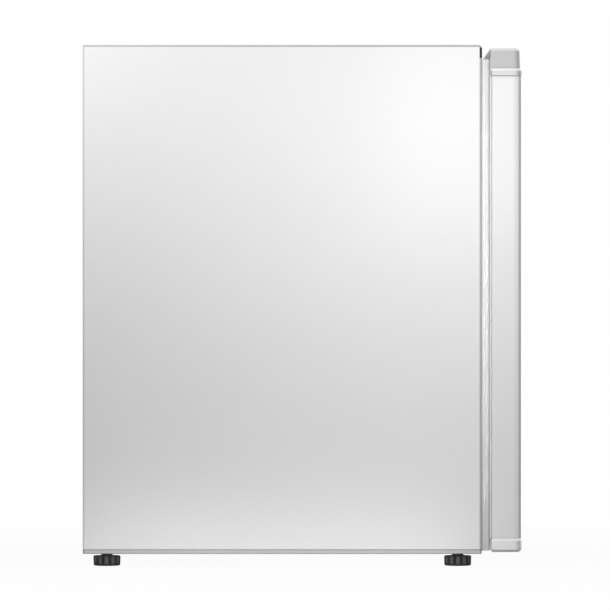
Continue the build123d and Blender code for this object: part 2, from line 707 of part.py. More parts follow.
# Thermostat housing on the right wall, open towards the wall
with BuildPart() as thermostat_housing:
    stat_back = STAT_FRONT + STAT_LENGTH
    stat_low = STAT_Z - STAT_HEIGHT / 2
    stat_high = STAT_Z + STAT_HEIGHT / 2
    slab(STAT_LEFT, INNER_HALF, STAT_FRONT, stat_back, stat_low, stat_high)
    chamfer(thermostat_housing.faces().sort_by(Axis.X)[0].edges(), STAT_BEVEL)
    offset(amount=-WALL, kind=Kind.INTERSECTION, openings=thermostat_housing.faces().sort_by(Axis.X)[-1])
    for wall_y in (STAT_FRONT + WALL, stat_back):
        with BuildSketch(facing_front(wall_y)):
            with Locations((STAT_X, STAT_Z)):
                RegularPolygon(SHAFT_RADIUS + 2 * RUN, HEX, major_radius=False)
        extrude(amount=WALL, mode=Mode.SUBTRACT)
save(thermostat_housing, "thermostat_housing")

# Thermostat switch behind the housing's front wall, with its shaft through it
with BuildPart() as thermostat_switch:
    switch_front = STAT_FRONT + WALL
    switch_back = switch_front + SWITCH_SIZE
    half = SWITCH_SIZE / 2
    slab(STAT_X - half, STAT_X + half, switch_front, switch_back, STAT_Z - half, STAT_Z + half)
    with BuildSketch(facing_front(switch_front)):
        with Locations((STAT_X, STAT_Z)):
            Circle(SHAFT_RADIUS)
    extrude(amount=WALL + KNOB_DEPTH - KNOB_CROWN - 2 * RUN)
save(thermostat_switch, "thermostat_switch")

# Thermostat knob: skirt with a grip bar, bored for the shaft
with BuildPart() as thermostat_knob:
    knob_back = STAT_FRONT - RUN
    with BuildSketch(facing_front(knob_back)):
        with Locations((STAT_X, STAT_Z)):
            RegularPolygon(KNOB_RADIUS, KNOB_SIDES)
    extrude(amount=KNOB_SKIRT)
    with BuildSketch(facing_front(knob_back - KNOB_SKIRT)):
        with Locations((STAT_X, STAT_Z)):
            Rectangle(KNOB_BAR, 2 * KNOB_RADIUS - KNOB_SKIRT)
    extrude(amount=KNOB_DEPTH - KNOB_SKIRT)
    with BuildSketch(facing_front(knob_back)):
        with Locations((STAT_X, STAT_Z)):
            Circle(SHAFT_RADIUS + FIT)
    extrude(amount=KNOB_DEPTH - KNOB_CROWN, mode=Mode.SUBTRACT)
save(thermostat_knob, "thermostat_knob")

# Sensing tube from the switch to the evaporator's side
tube_x = ICE_RIGHT + TUBE_THIN + EASE
tube_y = ICE_BACK - CHANNEL_MARGIN / 2
tube_route = [
    (STAT_X, switch_back, STAT_Z),
    (STAT_X, tube_y, STAT_Z),
    (tube_x, tube_y, STAT_Z),
    (tube_x, tube_y, STAT_Z - TUBE_DROP),
]
tube_form = pipe(tube_route, TUBE_THIN, TUBE_CUT)
with BuildPart() as sensing_tube:
    add(tube_form)
save(sensing_tube, "sensing_tube")

# Clip that holds the sensing tube against the evaporator
with BuildPart() as sensing_clip:
    clip_x = tube_x + TUBE_THIN + 2 * EASE
    clip_z = STAT_Z - TUBE_DROP + CLIP_WIDTH
    clip_edge = clip_x + CLIP_SHEET
    slab(ICE_RIGHT, clip_edge, tube_y - CLIP_WIDTH, tube_y + CLIP_WIDTH, clip_z - CLIP_WIDTH, clip_z)
    gap = TUBE_THIN + 2 * EASE
    slab(ICE_RIGHT, clip_x, tube_y - gap, tube_y + gap, clip_z - CLIP_WIDTH, clip_z, Mode.SUBTRACT)
save(sensing_clip, "sensing_clip")

# Wire shelf: bent perimeter wire, rods welded on top, one cross wire below
with BuildPart() as wire_shelf:
    side_x = SHELF_HALF - SHELF_WIRE
    rim_front = SHELF_FRONT + SHELF_WIRE
    rim_back = SHELF_BACK - SHELF_WIRE
    with BuildLine(level(SHELF_Z)) as shelf_rim:
        FilletPolyline(
            (-side_x, rim_back),
            (-side_x, rim_front),
            (side_x, rim_front),
            (side_x, rim_back),
            radius=SHELF_CORNER,
        )
    with BuildSketch(Plane(origin=shelf_rim.line @ 0, x_dir=(1, 0, 0), z_dir=shelf_rim.line % 0)):
        RegularPolygon(SHELF_WIRE, HEX, major_radius=False)
    sweep(path=shelf_rim.line)
    with BuildSketch(across(-side_x)):
        with Locations((rim_back, SHELF_Z), ((rim_front + rim_back) / 2, SHELF_Z)):
            RegularPolygon(SHELF_WIRE, HEX, major_radius=False)
    extrude(amount=2 * side_x)
    rod_z = SHELF_Z + SHELF_WIRE
    pitch = 2 * (side_x - SHELF_CORNER) / (SHELF_RODS - 1)
    with BuildSketch(facing_front(rim_back)):
        with Locations(*[((step - (SHELF_RODS - 1) / 2) * pitch, rod_z) for step in range(SHELF_RODS)]):
            RegularPolygon(SHELF_ROD, HEX, major_radius=False)
    extrude(amount=rim_back - rim_front)
save(wire_shelf, "wire_shelf")

# Compressor carrier: flanged plate across the bay on the base frame
with BuildPart() as compressor_plate:
    slab(-CARRIER_HALF, CARRIER_HALF, CARRIER_FRONT, CARRIER_BACK, BASE_TOP, CARRIER_TOP)
    flange_top = CARRIER_TOP + CARRIER_FLANGE
    slab(-CARRIER_HALF, CARRIER_HALF, CARRIER_FRONT, CARRIER_FRONT + PLATE, CARRIER_TOP, flange_top)
    slab(-CARRIER_HALF, CARRIER_HALF, CARRIER_BACK - PLATE, CARRIER_BACK, CARRIER_TOP, flange_top)
save(compressor_plate, "compressor_plate")

# Rubber grommets that carry the compressor
with BuildPart() as compressor_grommets:
    mounts = [(COMP_X + sx * MOUNT_X, COMP_Y + sy * MOUNT_Y) for sx in (-1, 1) for sy in (-1, 1)]
    with BuildSketch(level(CARRIER_TOP)):
        with Locations(*mounts):
            RegularPolygon(GROMMET_RADIUS, OCTAGON)
    extrude(amount=GROMMET_HEIGHT)
save(compressor_grommets, "compressor_grommets")

# Compressor: domed hermetic can with a weld seam on a pressed foot plate
with BuildPart() as compressor:
    can_low = COMP_BOTTOM + COMP_SHELL
    with BuildSketch(level(COMP_BOTTOM)):
        with Locations((COMP_X, COMP_Y)):
            Rectangle(2 * (MOUNT_X + GROMMET_RADIUS), 2 * (MOUNT_Y + GROMMET_RADIUS))
    extrude(amount=COMP_SHELL)
    chamfer(compressor.edges().filter_by(Axis.Z), GROMMET_RADIUS)
    seam_z = can_low + COMP_HEIGHT * SEAM_SHARE
    with BuildSketch(level(can_low)):
        with Locations((COMP_X, COMP_Y)):
            RectangleRounded(COMP_LENGTH, COMP_WIDTH, COMP_CORNER)
    extrude(amount=seam_z - can_low)
    with BuildSketch(level(seam_z)):
        with Locations((COMP_X, COMP_Y)):
            upper_length = COMP_LENGTH - 2 * COMP_SEAM
            upper_width = COMP_WIDTH - 2 * COMP_SEAM
            RectangleRounded(upper_length, upper_width, COMP_CORNER - COMP_SEAM)
    extrude(amount=can_low + COMP_HEIGHT - seam_z)
    can_rim = compressor.faces().sort_by(Axis.Z)[-1].edges()
    chamfer(can_rim, COMP_DOME, COMP_DOME / 2)
    room = COMP_CORNER / 2
    room_x = COMP_LENGTH / 2 - room
    room_y = COMP_WIDTH / 2 - room
    room_top = can_low + COMP_HEIGHT - room
    slab(
        COMP_X - room_x,
        COMP_X + room_x,
        COMP_Y - room_y,
        COMP_Y + room_y,
        can_low + COMP_SHELL,
        room_top,
        Mode.SUBTRACT,
    )
save(compressor, "compressor")

# Relay and terminal cover on the back of the compressor
with BuildPart() as relay_cover:
    relay_front = COMP_Y + COMP_WIDTH / 2
    relay_back = relay_front + RELAY_DEPTH
    relay_low = can_low + COMP_SEAM
    relay_high = relay_low + RELAY_HEIGHT
    relay_half = RELAY_WIDTH / 2
    slab(COMP_X - relay_half, COMP_X + relay_half, relay_front, relay_back, relay_low, relay_high)
    chamfer(relay_cover.faces().sort_by(Axis.Y)[-1].edges(), WALL)
    hole = relay_half - WALL
    hole_low = relay_low + WALL
    hole_high = relay_high - WALL
    slab(COMP_X - hole, COMP_X + hole, relay_front, relay_back - WALL, hole_low, hole_high, Mode.SUBTRACT)
save(relay_cover, "relay_cover")

# Cord gland: bush in the relay cover's back, bored for the supply cord
with BuildPart() as cord_gland:
    gland_z = relay_low + RELAY_HEIGHT * GLAND_SHARE
    with BuildSketch(facing_front(relay_back + GLAND_LENGTH)):
        with Locations((COMP_X, gland_z)):
            RegularPolygon(GLAND_RADIUS, HEX)
            Circle(GLAND_BORE, mode=Mode.SUBTRACT)
    extrude(amount=GLAND_LENGTH)
save(cord_gland, "cord_gland")

# Refrigerant tubes: suction and discharge, from the can up to the bay's ceiling
can_shoulder = can_low + COMP_HEIGHT - COMP_DOME - COMP_SEAM
tube_forms = []
for side in (-1, 1):
    can_side = COMP_X + side * (COMP_LENGTH / 2 - COMP_SEAM)
    riser_x = can_side + side * PIPE_OUT
    stations = [(can_side, can_shoulder), (riser_x, can_shoulder), (riser_x, BAY_TOP)]
    tube_forms.append(pipe([(x, COMP_Y, z) for x, z in stations], PIPE_RADIUS, PIPE_CUT))
with BuildPart() as compressor_tubes:
    add(tube_forms)
save(compressor_tubes, "compressor_tubes")

# Filter drier hanging from the bay's ceiling on its tube
with BuildPart() as filter_drier:
    drier_top = BAY_TOP - DRIER_DROP
    with BuildSketch(level(drier_top)):
        with Locations((DRIER_X, COMP_Y)):
            RegularPolygon(DRIER_RADIUS, ROUND_SIDES)
    extrude(amount=-DRIER_LENGTH)
    with BuildSketch(level(BAY_TOP)):
        with Locations((DRIER_X, COMP_Y)):
            RegularPolygon(COIL_RADIUS, HEX)
    extrude(amount=-DRIER_DROP)
    with BuildSketch(level(drier_top - DRIER_LENGTH)):
        with Locations((DRIER_X, COMP_Y)):
            RegularPolygon(COIL_RADIUS, HEX)
    extrude(amount=-DRIER_DROP)
save(filter_drier, "filter_drier")

# Door skin: steel sheet wrapped round the front and sides
with BuildPart() as door_skin:
    return_y = DOOR_BACK - LINER
    with BuildSketch(level(SKIN_BOTTOM)):
        with BuildLine():
            FilletPolyline(
                (SKIN_RETURN - SIDE, return_y),
                (-SIDE, return_y),
                (-SIDE, DOOR_FRONT),
                (SIDE, DOOR_FRONT),
                (SIDE, return_y),
                (SIDE - SKIN_RETURN, return_y),
                radius=[SKIN_FOLD, SKIN_RADIUS, SKIN_RADIUS, SKIN_FOLD],
            )
            offset(amount=SHEET, side=Side.LEFT)
        make_face()
    extrude(amount=SKIN_TOP - SKIN_BOTTOM)
save(door_skin, "door_skin")

# Door top cap: hollow moulding with a rim over the skin and a finger grip in its top
rim_plan = door_plan(RIM_PROUD)
skin_plan = door_plan(0.0, bevel=0.0)
block_plan = door_plan(-BLOCK_INSET, bevel=0.0)
cavity_front = DOOR_FRONT + SKIN_RADIUS
cavity_back = DOOR_BACK - LINER - WALL
cavity_half = SIDE - SKIN_RADIUS
boss = BUSH_HALF + WALL
with BuildPart() as door_top_cap:
    rim_low = RIM_TOP - CAP_RIM
    with BuildSketch(level(rim_low)):
        add(rim_plan)
    extrude(amount=CAP_RIM)
    chamfer(door_top_cap.faces().sort_by(Axis.Z)[0].edges(), RIM_BEVEL)
    rim_end = door_top_cap.faces().sort_by(Axis.Z)[-1]
    chamfer(rim_end.edges(), RIM_BEVEL, RIM_SLOPE, reference=rim_end)
    with BuildSketch(level(rim_low)):
        add(skin_plan)
    extrude(amount=SKIN_TOP - rim_low, mode=Mode.SUBTRACT)
    with BuildSketch(level(RIM_TOP)):
        add(block_plan)
    extrude(amount=CAP_TOP_BLOCK, taper=BLOCK_TAPER)
    chamfer(door_top_cap.faces().sort_by(Axis.Z)[-1].edges().sort_by(Axis.Y)[:-1], CAP_BEVEL)
    with BuildSketch(level(SKIN_TOP)):
        with Locations((0, (cavity_front + cavity_back) / 2)):
            Rectangle(2 * cavity_half, cavity_back - cavity_front)
            Rectangle(GRIP_WIDTH + 2 * WALL, DOOR_DEPTH, mode=Mode.SUBTRACT)
        with Locations((HINGE_X, HINGE_Y)):
            Rectangle(2 * boss, 2 * boss, mode=Mode.SUBTRACT)
    extrude(amount=DOOR_TOP - WALL - SKIN_TOP, mode=Mode.SUBTRACT)
    with BuildSketch(level(DOOR_TOP)):
        with Locations((0, GRIP_Y)):
            RectangleRounded(GRIP_WIDTH, GRIP_BREADTH, GRIP_RADIUS)
    extrude(amount=-GRIP_DEPTH, mode=Mode.SUBTRACT)
    with BuildSketch(level(DOOR_TOP)):
        with Locations((HINGE_X, HINGE_Y)):
            Rectangle(2 * BUSH_HALF, 2 * BUSH_HALF)
    extrude(amount=-BUSH_LENGTH, mode=Mode.SUBTRACT)
    tongue = TONGUE_HALF + EASE
    slab(-tongue, tongue, DOOR_BACK - LINER, DOOR_BACK, rim_low, TONGUE_TOP + EASE, Mode.SUBTRACT)
save(door_top_cap, "door_top_cap")

# Door bottom cap: shallow moulded tray with a rim over the skin
with BuildPart() as door_bottom_cap:
    with BuildSketch(level(DOOR_BOTTOM)):
        add(rim_plan)
    extrude(amount=CAP_BOTTOM_HEIGHT)
    chamfer(door_bottom_cap.faces().sort_by(Axis.Z)[0].edges(), CAP_BEVEL)
    rim_end = door_bottom_cap.faces().sort_by(Axis.Z)[-1]
    chamfer(rim_end.edges(), RIM_BEVEL, RIM_SLOPE, reference=rim_end)
    with BuildSketch(level(SKIN_BOTTOM)):
        add(skin_plan)
        with Locations((HINGE_X, HINGE_Y)):
            Rectangle(2 * boss, 2 * boss, mode=Mode.SUBTRACT)
    extrude(amount=CAP_LAP, mode=Mode.SUBTRACT)
    with BuildSketch(level(DOOR_BOTTOM + WALL)):
        with Locations((0, (cavity_front + cavity_back) / 2)):
            Rectangle(2 * cavity_half, cavity_back - cavity_front)
        with Locations((HINGE_X, HINGE_Y)):
            Rectangle(2 * boss, 2 * boss, mode=Mode.SUBTRACT)
    extrude(amount=SKIN_BOTTOM - DOOR_BOTTOM - WALL, mode=Mode.SUBTRACT)
    with BuildSketch(level(DOOR_BOTTOM)):
        with Locations((HINGE_X, HINGE_Y)):
            Rectangle(2 * BUSH_HALF, 2 * BUSH_HALF)
    extrude(amount=BUSH_LENGTH, mode=Mode.SUBTRACT)
    tongue_back = DOOR_BACK - LINER
    slab(-tongue, tongue, tongue_back, DOOR_BACK, TONGUE_BOTTOM - EASE, SKIN_BOTTOM, Mode.SUBTRACT)
save(door_bottom_cap, "door_bottom_cap")

# Door liner: formed sheet with a raised dyke round a sunk middle and lugs for the bins
dyke_seen = dyke(0.0, True, DOOR_BACK - LINER)
dyke_hidden = dyke(LINER, False, DOOR_BACK - LINER)
dyke_foam = dyke(LINER, False, DOOR_BACK - LINER - SHEET)
lug_face = DYKE_HALF - DYKE_WIDTH
with BuildPart() as door_liner:
    edge = SIDE - LINER_INSET
    slab(-edge, edge, DOOR_BACK - LINER, DOOR_BACK, CAP_BOTTOM_TOP, rim_low)
    slab(-TONGUE_HALF, TONGUE_HALF, DOOR_BACK - LINER, DOOR_BACK, TONGUE_BOTTOM, TONGUE_TOP)
    add(dyke_seen)
    add(dyke_hidden, mode=Mode.SUBTRACT)
    for floor in (UPPER_BIN_Z, LOWER_BIN_Z):
        lug_low = floor + LUG_RISE
        y0 = LUG_Y - LUG_WIDTH / 2
        y1 = LUG_Y + LUG_WIDTH / 2
        slab(lug_face - LUG_REACH, lug_face + LUG_ROOT, y0, y1, lug_low, lug_low + LUG_HEIGHT)
        slab(-lug_face - LUG_ROOT, LUG_REACH - lug_face, y0, y1, lug_low, lug_low + LUG_HEIGHT)
save(door_liner, "door_liner")

# Foam inside the door
foam_plan = door_plan(-SHEET, DOOR_BACK - LINER - SHEET)
with BuildPart() as door_foam:
    with BuildSketch(level(SKIN_BOTTOM)):
        add(foam_plan)
    extrude(amount=SKIN_TOP - SKIN_BOTTOM)
    add(dyke_foam)
    pocket_top = DOOR_BOTTOM + BUSH_LENGTH + WALL
    x0 = HINGE_X - boss
    slab(x0, SIDE, HINGE_Y - boss, HINGE_Y + boss, SKIN_BOTTOM, pocket_top, Mode.SUBTRACT)
save(door_foam, "door_foam")

# Door gasket: soft bellows profile run round the door, with a channel for the magnets
gasket_half = SIDE - GASKET_OUT
magnet_low = GASKET_FREE - MAGNET_SKIN - MAGNET_THICK
magnet_edge = (GASKET_HEAD - MAGNET_WIDTH) / 2
with BuildPart() as door_gasket:
    with BuildLine(facing_front(DOOR_BACK)) as gasket_path:
        Polyline(
            (0, GASKET_BOTTOM),
            (gasket_half, GASKET_BOTTOM),
            (gasket_half, GASKET_TOP),
            (-gasket_half, GASKET_TOP),
            (-gasket_half, GASKET_BOTTOM),
            close=True,
        )
    with BuildSketch(Plane(origin=(0, DOOR_BACK, GASKET_BOTTOM), x_dir=(0, 0, 1), z_dir=(-1, 0, 0))):
        with BuildLine():
            Polyline(
                (0, 0),
                (GASKET_WIDTH, 0),
                (GASKET_WIDTH, GASKET_BASE),
                (GASKET_HEAD - GASKET_FOLD, FOLD_LOW),
                (GASKET_HEAD, FOLD_MID),
                (GASKET_HEAD - GASKET_FOLD, FOLD_HIGH),
                (GASKET_HEAD, HEAD_LOW),
                (GASKET_HEAD, GASKET_FREE),
                (0, GASKET_FREE),
                (0, HEAD_LOW),
                (GASKET_FOLD, FOLD_HIGH),
                (0, FOLD_MID),
                (GASKET_FOLD, FOLD_LOW),
                (0, GASKET_BASE),
                close=True,
            )
        make_face()
        with Locations((magnet_edge, magnet_low)):
            Rectangle(MAGNET_WIDTH, MAGNET_THICK, align=Align.MIN, mode=Mode.SUBTRACT)
    sweep(path=gasket_path.line, transition=Transition.RIGHT)
save(door_gasket, "door_gasket")

# Magnet strips: four straight bars inside the gasket's head
with BuildPart() as gasket_magnets:
    near = DOOR_BACK + magnet_low
    far = near + MAGNET_THICK
    bar_out = gasket_half - magnet_edge
    bar_in = bar_out - MAGNET_WIDTH
    high = GASKET_TOP - magnet_edge
    low = GASKET_BOTTOM + magnet_edge
    for side in (-1, 1):
        x0, x1 = sorted((side * bar_in, side * bar_out))
        slab(x0, x1, near, far, low + MAGNET_WIDTH + EASE, high - MAGNET_WIDTH - EASE)
    slab(-bar_out, bar_out, near, far, high - MAGNET_WIDTH, high)
    slab(-bar_out, bar_out, near, far, low, low + MAGNET_WIDTH)
save(gasket_magnets, "gasket_magnets")

# Hinge bushes: keyed sleeves in the caps with a bearing flange
with BuildPart() as door_bushes:
    top_flange = CAP_TOP_GAP - RUN
    low_flange = DOOR_BOTTOM - ARM_TOP - FIT
    for start, flange, length in (
        (DOOR_TOP, top_flange, -BUSH_LENGTH),
        (DOOR_BOTTOM, -low_flange, BUSH_LENGTH),
    ):
        with BuildSketch(level(start)):
            with Locations((HINGE_X, HINGE_Y)):
                Rectangle(2 * BUSH_HALF, 2 * BUSH_HALF)
        extrude(amount=length)
        with BuildSketch(level(start)):
            with Locations((HINGE_X, HINGE_Y)):
                RegularPolygon(BUSH_FLANGE, OCTAGON)
        extrude(amount=flange)
    with BuildSketch(level(DOOR_BOTTOM - low_flange)):
        with Locations((HINGE_X, HINGE_Y)):
            Circle(PIN_RADIUS + FIT)
    extrude(amount=HEIGHT, mode=Mode.SUBTRACT)
save(door_bushes, "door_bushes")

# Top hinge bracket: flat arm on the cabinet's top, reaching over the door
with BuildPart() as top_hinge_bracket:
    with BuildSketch(level(HEIGHT)):
        plate_mid = (TOP_PLATE_FRONT + TOP_PLATE_BACK) / 2
        with Locations((HINGE_X + HINGE_ARM - TOP_PLATE_LENGTH / 2, plate_mid)):
            Rectangle(TOP_PLATE_LENGTH, TOP_PLATE_BACK - TOP_PLATE_FRONT)
        with Locations((HINGE_X, (HINGE_Y + plate_mid) / 2)):
            Rectangle(2 * HINGE_ARM, plate_mid - HINGE_Y)
        with Locations((HINGE_X, HINGE_Y)):
            Circle(HINGE_ARM)
    extrude(amount=HINGE_PLATE)
save(top_hinge_bracket, "top_hinge_bracket")

# Top hinge pin, hanging from the arm into the upper bush
with BuildPart() as top_hinge_pin:
    pin_low = DOOR_TOP - BUSH_LENGTH + PIN_SHORT
    rod(HINGE_X, HINGE_Y, pin_low, PIN_RADIUS, HEIGHT - pin_low)
save(top_hinge_pin, "top_hinge_pin")

# Top hinge cover: moulded cap over bracket and screws
with BuildPart() as top_hinge_cover:
    cover_left = HINGE_X + HINGE_ARM - TOP_PLATE_LENGTH - COVER_WALL
    cover_right = HINGE_X + HINGE_ARM + COVER_WALL
    cover_front = HINGE_Y - HINGE_ARM - COVER_WALL
    cover_back = TOP_PLATE_BACK + COVER_WALL
    slab(cover_left, cover_right, cover_front, cover_back, HEIGHT, HEIGHT + COVER_HEIGHT)
    slab(
        cover_left,
        HINGE_X - HINGE_ARM - COVER_WALL,
        cover_front,
        TOP_PLATE_FRONT - COVER_WALL,
        HEIGHT,
        HEIGHT + COVER_HEIGHT,
        Mode.SUBTRACT,
    )
    chamfer(top_hinge_cover.faces().sort_by(Axis.Z)[-1].edges(), COVER_BEVEL)
    offset(amount=-COVER_WALL, kind=Kind.INTERSECTION, openings=top_hinge_cover.faces().sort_by(Axis.Z)[0])
save(top_hinge_cover, "top_hinge_cover")

# Bottom hinge bracket: joggled plate under the base frame, reaching under the door
with BuildPart() as bottom_hinge_bracket:
    pad_left = HINGE_X - PAD_LENGTH
    arm_left = HINGE_X - HINGE_ARM
    arm_right = HINGE_X + HINGE_ARM
    step_back = FRONT + PAD_STEP_BACK
    step_front = FRONT + PAD_STEP_FRONT
    with BuildSketch(across(pad_left)):
        with BuildLine():
            Polyline(
                (PAD_BACK, PAD_TOP),
                (step_back, PAD_TOP),
                (step_front, ARM_TOP),
                (HINGE_Y - HINGE_ARM, ARM_TOP),
                (HINGE_Y - HINGE_ARM, ARM_TOP - PAD_THICK),
                (step_front, ARM_TOP - PAD_THICK),
                (step_back, PAD_TOP - PAD_THICK),
                (PAD_BACK, PAD_TOP - PAD_THICK),
                close=True,
            )
        make_face()
    extrude(amount=arm_right - pad_left)
    slab(pad_left, arm_left, HINGE_Y - HINGE_ARM, step_back, 0, PAD_TOP, Mode.SUBTRACT)
    with BuildSketch(level(PAD_TOP)):
        with Locations(FEET["front_right"]):
            RegularPolygon(NECK_RADIUS, HEX)
    extrude(amount=-PAD_THICK, mode=Mode.SUBTRACT)
    tip = bottom_hinge_bracket.edges().filter_by(Axis.Z).sort_by(Axis.Y)[:2]
    chamfer(tip, HINGE_ARM / 2)
save(bottom_hinge_bracket, "bottom_hinge_bracket")

# Bottom hinge pin, standing on the arm in the lower bush
with BuildPart() as bottom_hinge_pin:
    rod(HINGE_X, HINGE_Y, ARM_TOP, PIN_RADIUS, DOOR_BOTTOM + BUSH_LENGTH - PIN_SHORT - ARM_TOP)
save(bottom_hinge_pin, "bottom_hinge_pin")


def door_bin(name, floor, depth, height):
    """Moulded door bin with sides that fall towards its front and hooks over the liner's lugs."""
    with BuildPart() as bin_part:
        front = BIN_BACK + depth
        slab(-BIN_HALF, BIN_HALF, BIN_BACK, front, floor, floor + height)
        fillet(bin_part.edges().filter_by(Axis.Z).sort_by(Axis.Y)[-2:], BIN_RADIUS)
        offset(amount=-BIN_WALL, openings=bin_part.faces().sort_by(Axis.Z)[-1])
        with BuildSketch(across(-BIN_HALF)):
            with BuildLine():
                Polyline(
                    (front, floor + height),
                    (front, floor + height * BIN_FRONT_SHARE),
                    (front - depth / 2, floor + height),
                    close=True,
                )
            make_face()
        extrude(amount=2 * BIN_HALF, mode=Mode.SUBTRACT)
        slot = LUG_WIDTH / 2 + RUN
        hook = slot + HOOK_WALL
        roof = floor + LUG_RISE + LUG_HEIGHT + RUN
        hook_out = lug_face - 2 * RUN
        for side in (-1, 1):
            x0, x1 = sorted((side * BIN_HALF, side * hook_out))
            slab(x0, x1, LUG_Y - hook, LUG_Y + hook, floor + LUG_RISE, roof + HOOK_WALL)
            slab(x0, x1, LUG_Y - slot, LUG_Y + slot, floor + LUG_RISE, roof, Mode.SUBTRACT)
    save(bin_part, name)


# Door bins
door_bin("upper_door_bin", UPPER_BIN_Z, UPPER_BIN_DEPTH, UPPER_BIN_HEIGHT)
door_bin("lower_door_bin", LOWER_BIN_Z, LOWER_BIN_DEPTH, LOWER_BIN_HEIGHT)


def foot(name, x, y):
    """Levelling foot: threaded stud and the grooved knob that turns it."""
    with BuildPart() as stud:
        with BuildSketch(level(STUD_SEAT)):
            with Locations((x, y)):
                RegularPolygon(STUD_RADIUS, STUD_SIDES)
        extrude(amount=STUD_TOP - STUD_SEAT)
    save(stud, f"foot_stud_{name}")
    with BuildPart() as knob:
        with BuildSketch():
            with Locations((x, y)):
                RegularPolygon(FOOT_RADIUS, FOOT_GROOVES, rotation=180 / FOOT_GROOVES)
                with PolarLocations(FOOT_RADIUS, FOOT_GROOVES, start_angle=180 / FOOT_GROOVES):
                    RegularPolygon(GROOVE_RADIUS, GROOVE_SIDES, mode=Mode.SUBTRACT)
        extrude(amount=FOOT_THICK)
        with BuildSketch(level(FOOT_THICK)):
            with Locations((x, y)):
                RegularPolygon(NECK_RADIUS, FOOT_GROOVES)
        extrude(amount=NECK_TOP - FOOT_THICK)
        rod(x, y, STUD_SEAT - RUN, STUD_RADIUS + FIT, NECK_TOP, Mode.SUBTRACT)
    save(knob, f"foot_knob_{name}")


# Feet
for place, (foot_x, foot_y) in FEET.items():
    foot(place, foot_x, foot_y)
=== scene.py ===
"""Finishes, soft parts and small hardware of a mini fridge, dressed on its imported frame.

Lengths are in metres. +Z is up, the door faces -Y and is hinged on the +X side.
"""
import functools
import logging
import math
from collections.abc import Iterable, Iterator, Sequence
from dataclasses import dataclass, replace
from enum import Enum

import bmesh
import bpy
from mathutils import Matrix, Vector


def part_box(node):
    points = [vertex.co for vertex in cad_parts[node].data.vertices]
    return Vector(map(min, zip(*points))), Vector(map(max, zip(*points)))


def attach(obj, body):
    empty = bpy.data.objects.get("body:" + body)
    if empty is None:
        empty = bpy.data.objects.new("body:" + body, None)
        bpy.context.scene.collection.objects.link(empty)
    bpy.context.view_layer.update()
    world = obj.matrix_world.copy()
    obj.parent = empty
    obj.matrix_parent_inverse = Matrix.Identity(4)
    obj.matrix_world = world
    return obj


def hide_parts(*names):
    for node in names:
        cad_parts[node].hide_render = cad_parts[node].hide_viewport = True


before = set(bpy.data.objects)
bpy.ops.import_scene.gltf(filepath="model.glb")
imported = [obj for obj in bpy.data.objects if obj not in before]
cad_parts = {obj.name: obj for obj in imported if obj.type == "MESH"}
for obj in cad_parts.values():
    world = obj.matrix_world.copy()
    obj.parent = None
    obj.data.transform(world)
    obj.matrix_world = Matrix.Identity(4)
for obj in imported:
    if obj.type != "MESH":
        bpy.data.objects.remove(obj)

LOG = logging.getLogger("mini_fridge")
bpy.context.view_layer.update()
MM = 0.001

Colour = tuple[float, float, float]
Point = tuple[float, float, float]
Span = tuple[float, float]
Profile = Sequence[tuple[float, float]]
Ring = list[Vector]
Socket = bpy.types.NodeSocket

UP: Point = (0.0, 0.0, 1.0)
DOWN: Point = (0.0, 0.0, -1.0)
FRONT: Point = (0.0, -1.0, 0.0)
BACK: Point = (0.0, 1.0, 0.0)
EVEN: Point = (1.0, 1.0, 1.0)
WHOLE: Span = (0.0, 1.0)
CORNERS = ((-1, -1), (1, -1), (1, 1), (-1, 1))
FOOT_PLACES = ("front_left", "front_right", "rear_left", "rear_right")

EDGE_SAMPLES = 4
CREVICE_SAMPLES = 8
DUST_COLOUR: Colour = (0.50, 0.48, 0.45)
# Share of the base colour that is left where shade is painted into crevices.
CREVICE_SHADE_FACTOR = 0.3


def opaque(colour: Colour) -> tuple[float, float, float, float]:
    """Colour with full alpha."""
    return (*colour, 1.0)


